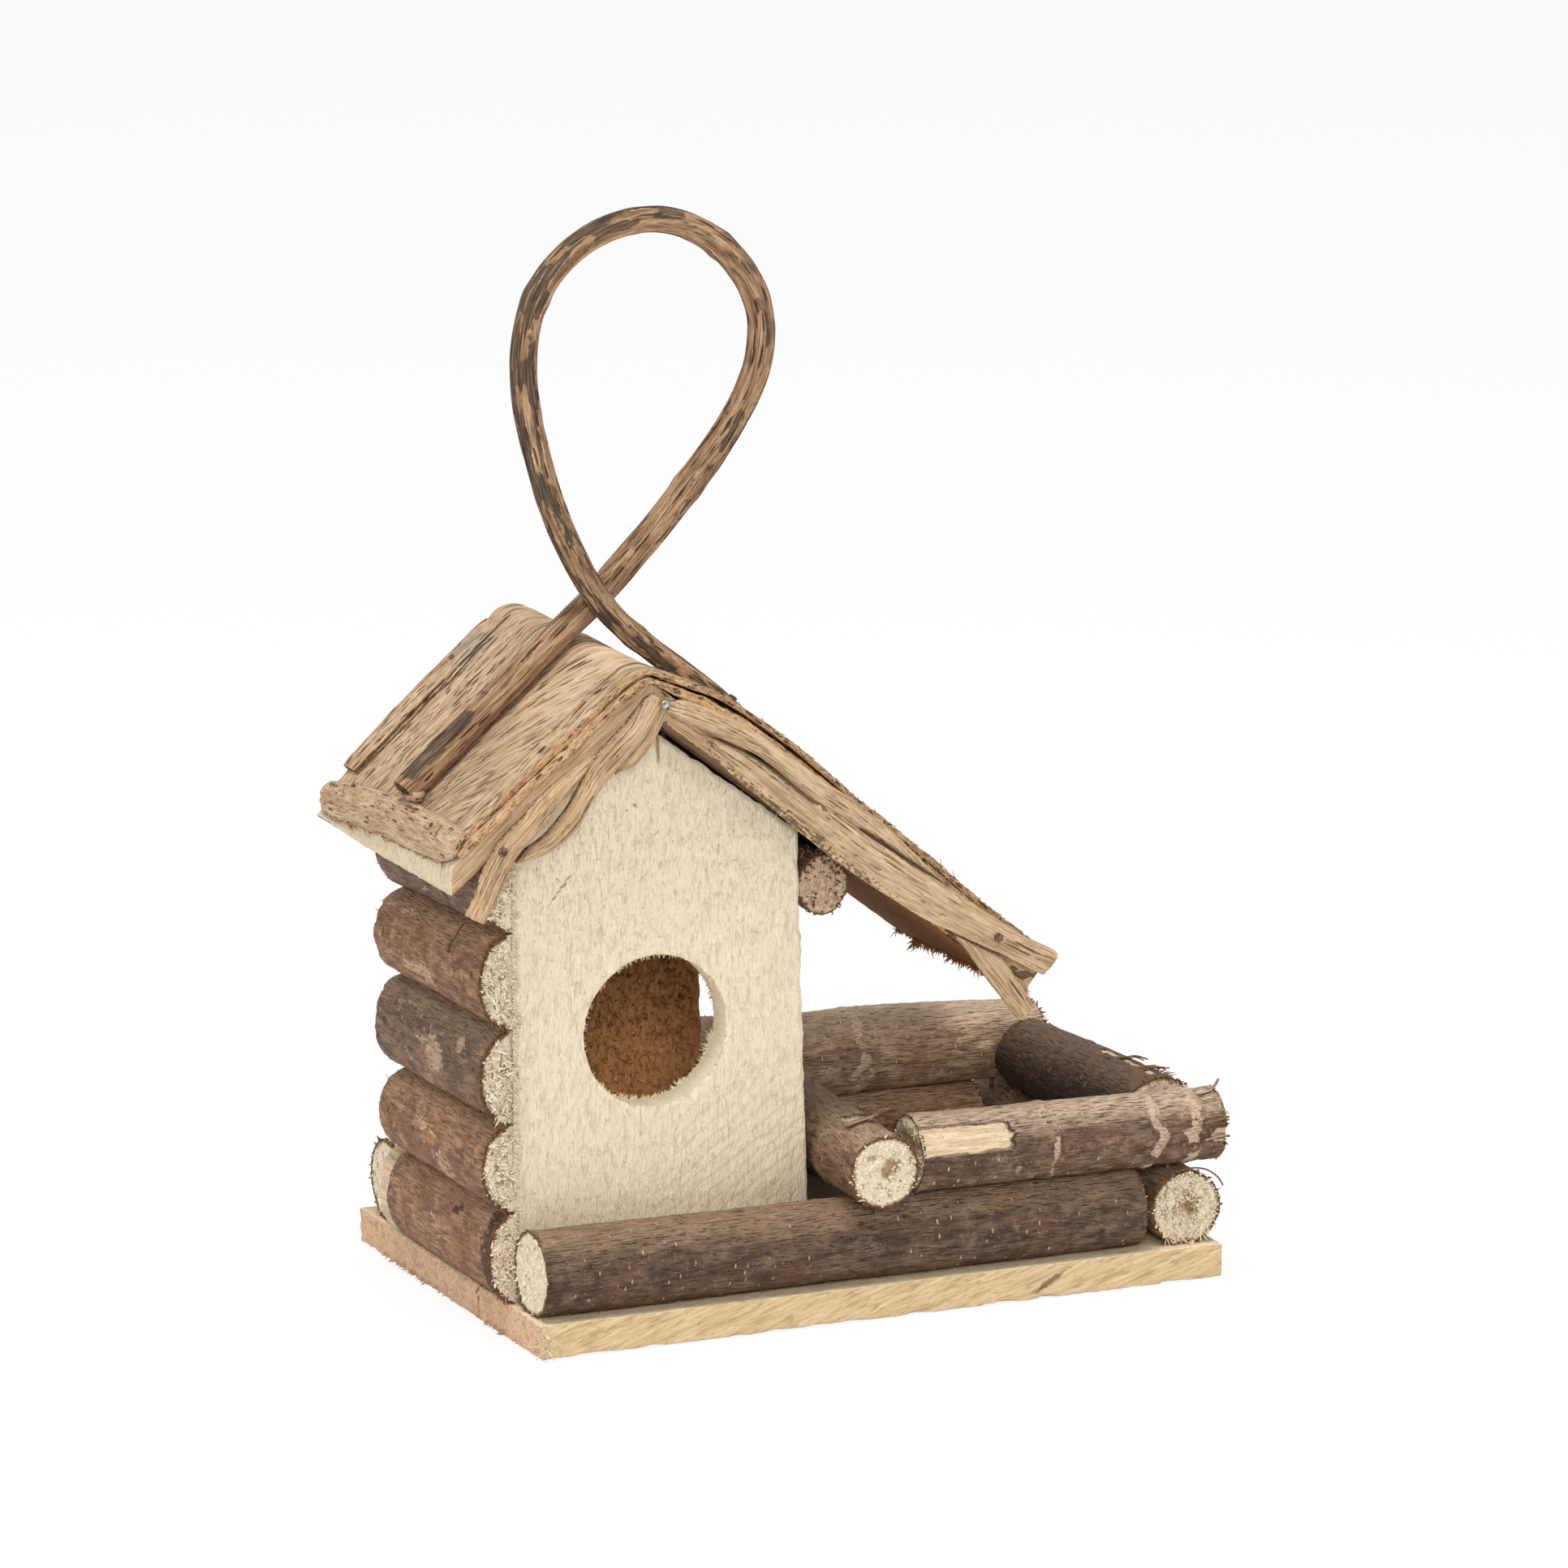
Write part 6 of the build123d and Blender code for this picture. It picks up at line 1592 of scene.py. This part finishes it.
def make_nails():
    piece = Piece()
    nail_head(piece, (-50.3, -45.3, 145.3), (0, -1, 0.1), 0.95, 0.6, 601, 0)
    nail_head(piece, (-89.5, -45.3, 115.4), (0, -1, 0), 1.1, 0.6, 602, 1)
    nail_head(piece, (30.6, -48.6, 84.6), (0, -1, 0), 1.1, 0.6, 603, 1)
    piece.make("trim_nail_heads", "nail_steel", [BRIGHT_STEEL, RUSTY_STEEL], "trim_nails")
    piece = Piece()
    for down, y in ((EAVE_DOWN - 2.2, -29.1), (EAVE_DOWN - 2.2, 21.9), (18.0, 33.75), (42.0, 33.75)):
        high, reach = (4.3, down - BEND_DOWN) if y > 30 else (5.0, EAVE_DOWN)
        spot = with_depth(left_spot(np.array(down), high - rear_sag(reach, np.array(y))), y)
        nail_head(piece, spot, (-math.sin(LEFT_DIP), 0, math.cos(LEFT_DIP)), 0.6, 0.25, 604, 0)
    piece.make("bark_tack_heads", "nail_steel", [RUSTY_STEEL], "bark_tacks")
    piece = Piece()
    nail_head(piece, (-77.9, -7.2, 142.6), (-math.sin(LEFT_DIP), 0, math.cos(LEFT_DIP)), 1.1, 0.5, 605, 0)
    nail_head(piece, (-18.3, -10.2, 136.9), (math.sin(RIGHT_DIP), 0, math.cos(RIGHT_DIP)), 1.1, 0.5, 606, 0)
    piece.make("handle_nail_heads", "nail_steel", [RUSTY_STEEL], "handle_nails")
    for node in ("base_nails", "wall_brads", "roof_nails", "tray_brads"):
        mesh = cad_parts[node].data
        mesh.materials.clear()
        mesh.materials.append(RUSTY_STEEL)


make_base()
make_panels()
make_tray()
make_wall_logs()
make_roof_boards()
make_bark()
make_strips()
make_twigs()
make_handle()
make_nails()


# Studio: pale floor, soft light, and the camera where the photograph was taken, in metres.

LIGHT_AWAY = 2.2


def look_at(thing, target):
    thing.rotation_euler = (target - thing.location).to_track_quat("-Z", "Y").to_euler()
    bpy.context.scene.collection.objects.link(thing)


def seen_rays(tree):
    """One for what the camera sees, also in a shiny or clear thing."""
    rays = put(tree, "ShaderNodeLightPath").outputs
    mirrored = sums(tree, "MAXIMUM", rays["Is Glossy Ray"], rays["Is Transmission Ray"])
    return sums(tree, "MAXIMUM", rays["Is Camera Ray"], mirrored)


def make_studio():
    stage = bpy.data.meshes.new("studio_floor")
    far, low = 6.0, -0.0002
    corners = [(-far, -far, low), (far, -far, low), (far, far, low), (-far, far, low)]
    stage.from_pydata(corners, [], [(0, 1, 2, 3)])
    floor = bpy.data.objects.new("studio_floor", stage)
    bpy.context.scene.collection.objects.link(floor)
    look = bpy.data.materials.new("studio_white")
    look.use_nodes = True
    t = look.node_tree
    plain = t.nodes["Principled BSDF"]
    plain.inputs["Base Color"].default_value = (0.9, 0.9, 0.9, 1)
    plain.inputs["Roughness"].default_value = 0.9
    share = sums(t, "MULTIPLY", seen_rays(t), 0.86)
    glow = put(t, "ShaderNodeEmission", {"Color": (1, 1, 1, 1), "Strength": 1.02}).outputs[0]
    surface = put(t, "ShaderNodeMixShader", {0: share, 1: plain.outputs[0], 2: glow}).outputs[0]
    t.links.new(surface, t.nodes["Material Output"].inputs["Surface"])
    stage.materials.append(look)

    world = bpy.data.worlds.new("studio_air")
    bpy.context.scene.world = world
    world.use_nodes = True
    t = world.node_tree
    strength = sums(t, "ADD", 0.3, sums(t, "MULTIPLY", seen_rays(t), 0.7))
    t.nodes["Background"].inputs["Color"].default_value = (1, 1, 1, 1)
    t.links.new(strength, t.nodes["Background"].inputs["Strength"])

    aim = Vector((-0.003, -0.005, 0.1))
    for name, way, size, power in (("top_light", (-0.15, -0.12, 0.97), 1.0, 36.0),
                                   ("front_light", (-0.30, -0.86, 0.36), 0.7, 14.5),
                                   ("left_light", (-0.95, -0.15, 0.25), 0.9, 11.5),
                                   ("right_light", (0.6, -0.75, 0.35), 1.2, 8.5)):
        lamp = bpy.data.lights.new(name, "AREA")
        lamp.shape, lamp.size, lamp.energy = "DISK", size, power
        thing = bpy.data.objects.new(name, lamp)
        thing.location = aim + Vector(way).normalized() * LIGHT_AWAY
        look_at(thing, aim)

    lens = bpy.data.cameras.new("photo_camera")
    lens.sensor_width, lens.lens = 36.0, 223.602
    lens.clip_end = 50.0
    camera = bpy.data.objects.new("photo_camera", lens)
    camera.location = Vector((-0.88717, -1.98986, 0.61209))
    look_at(camera, Vector((-0.00328, -0.005, 0.11432)))
    bpy.context.scene.camera = camera
    bpy.context.scene.view_settings.view_transform = "Standard"


make_studio()
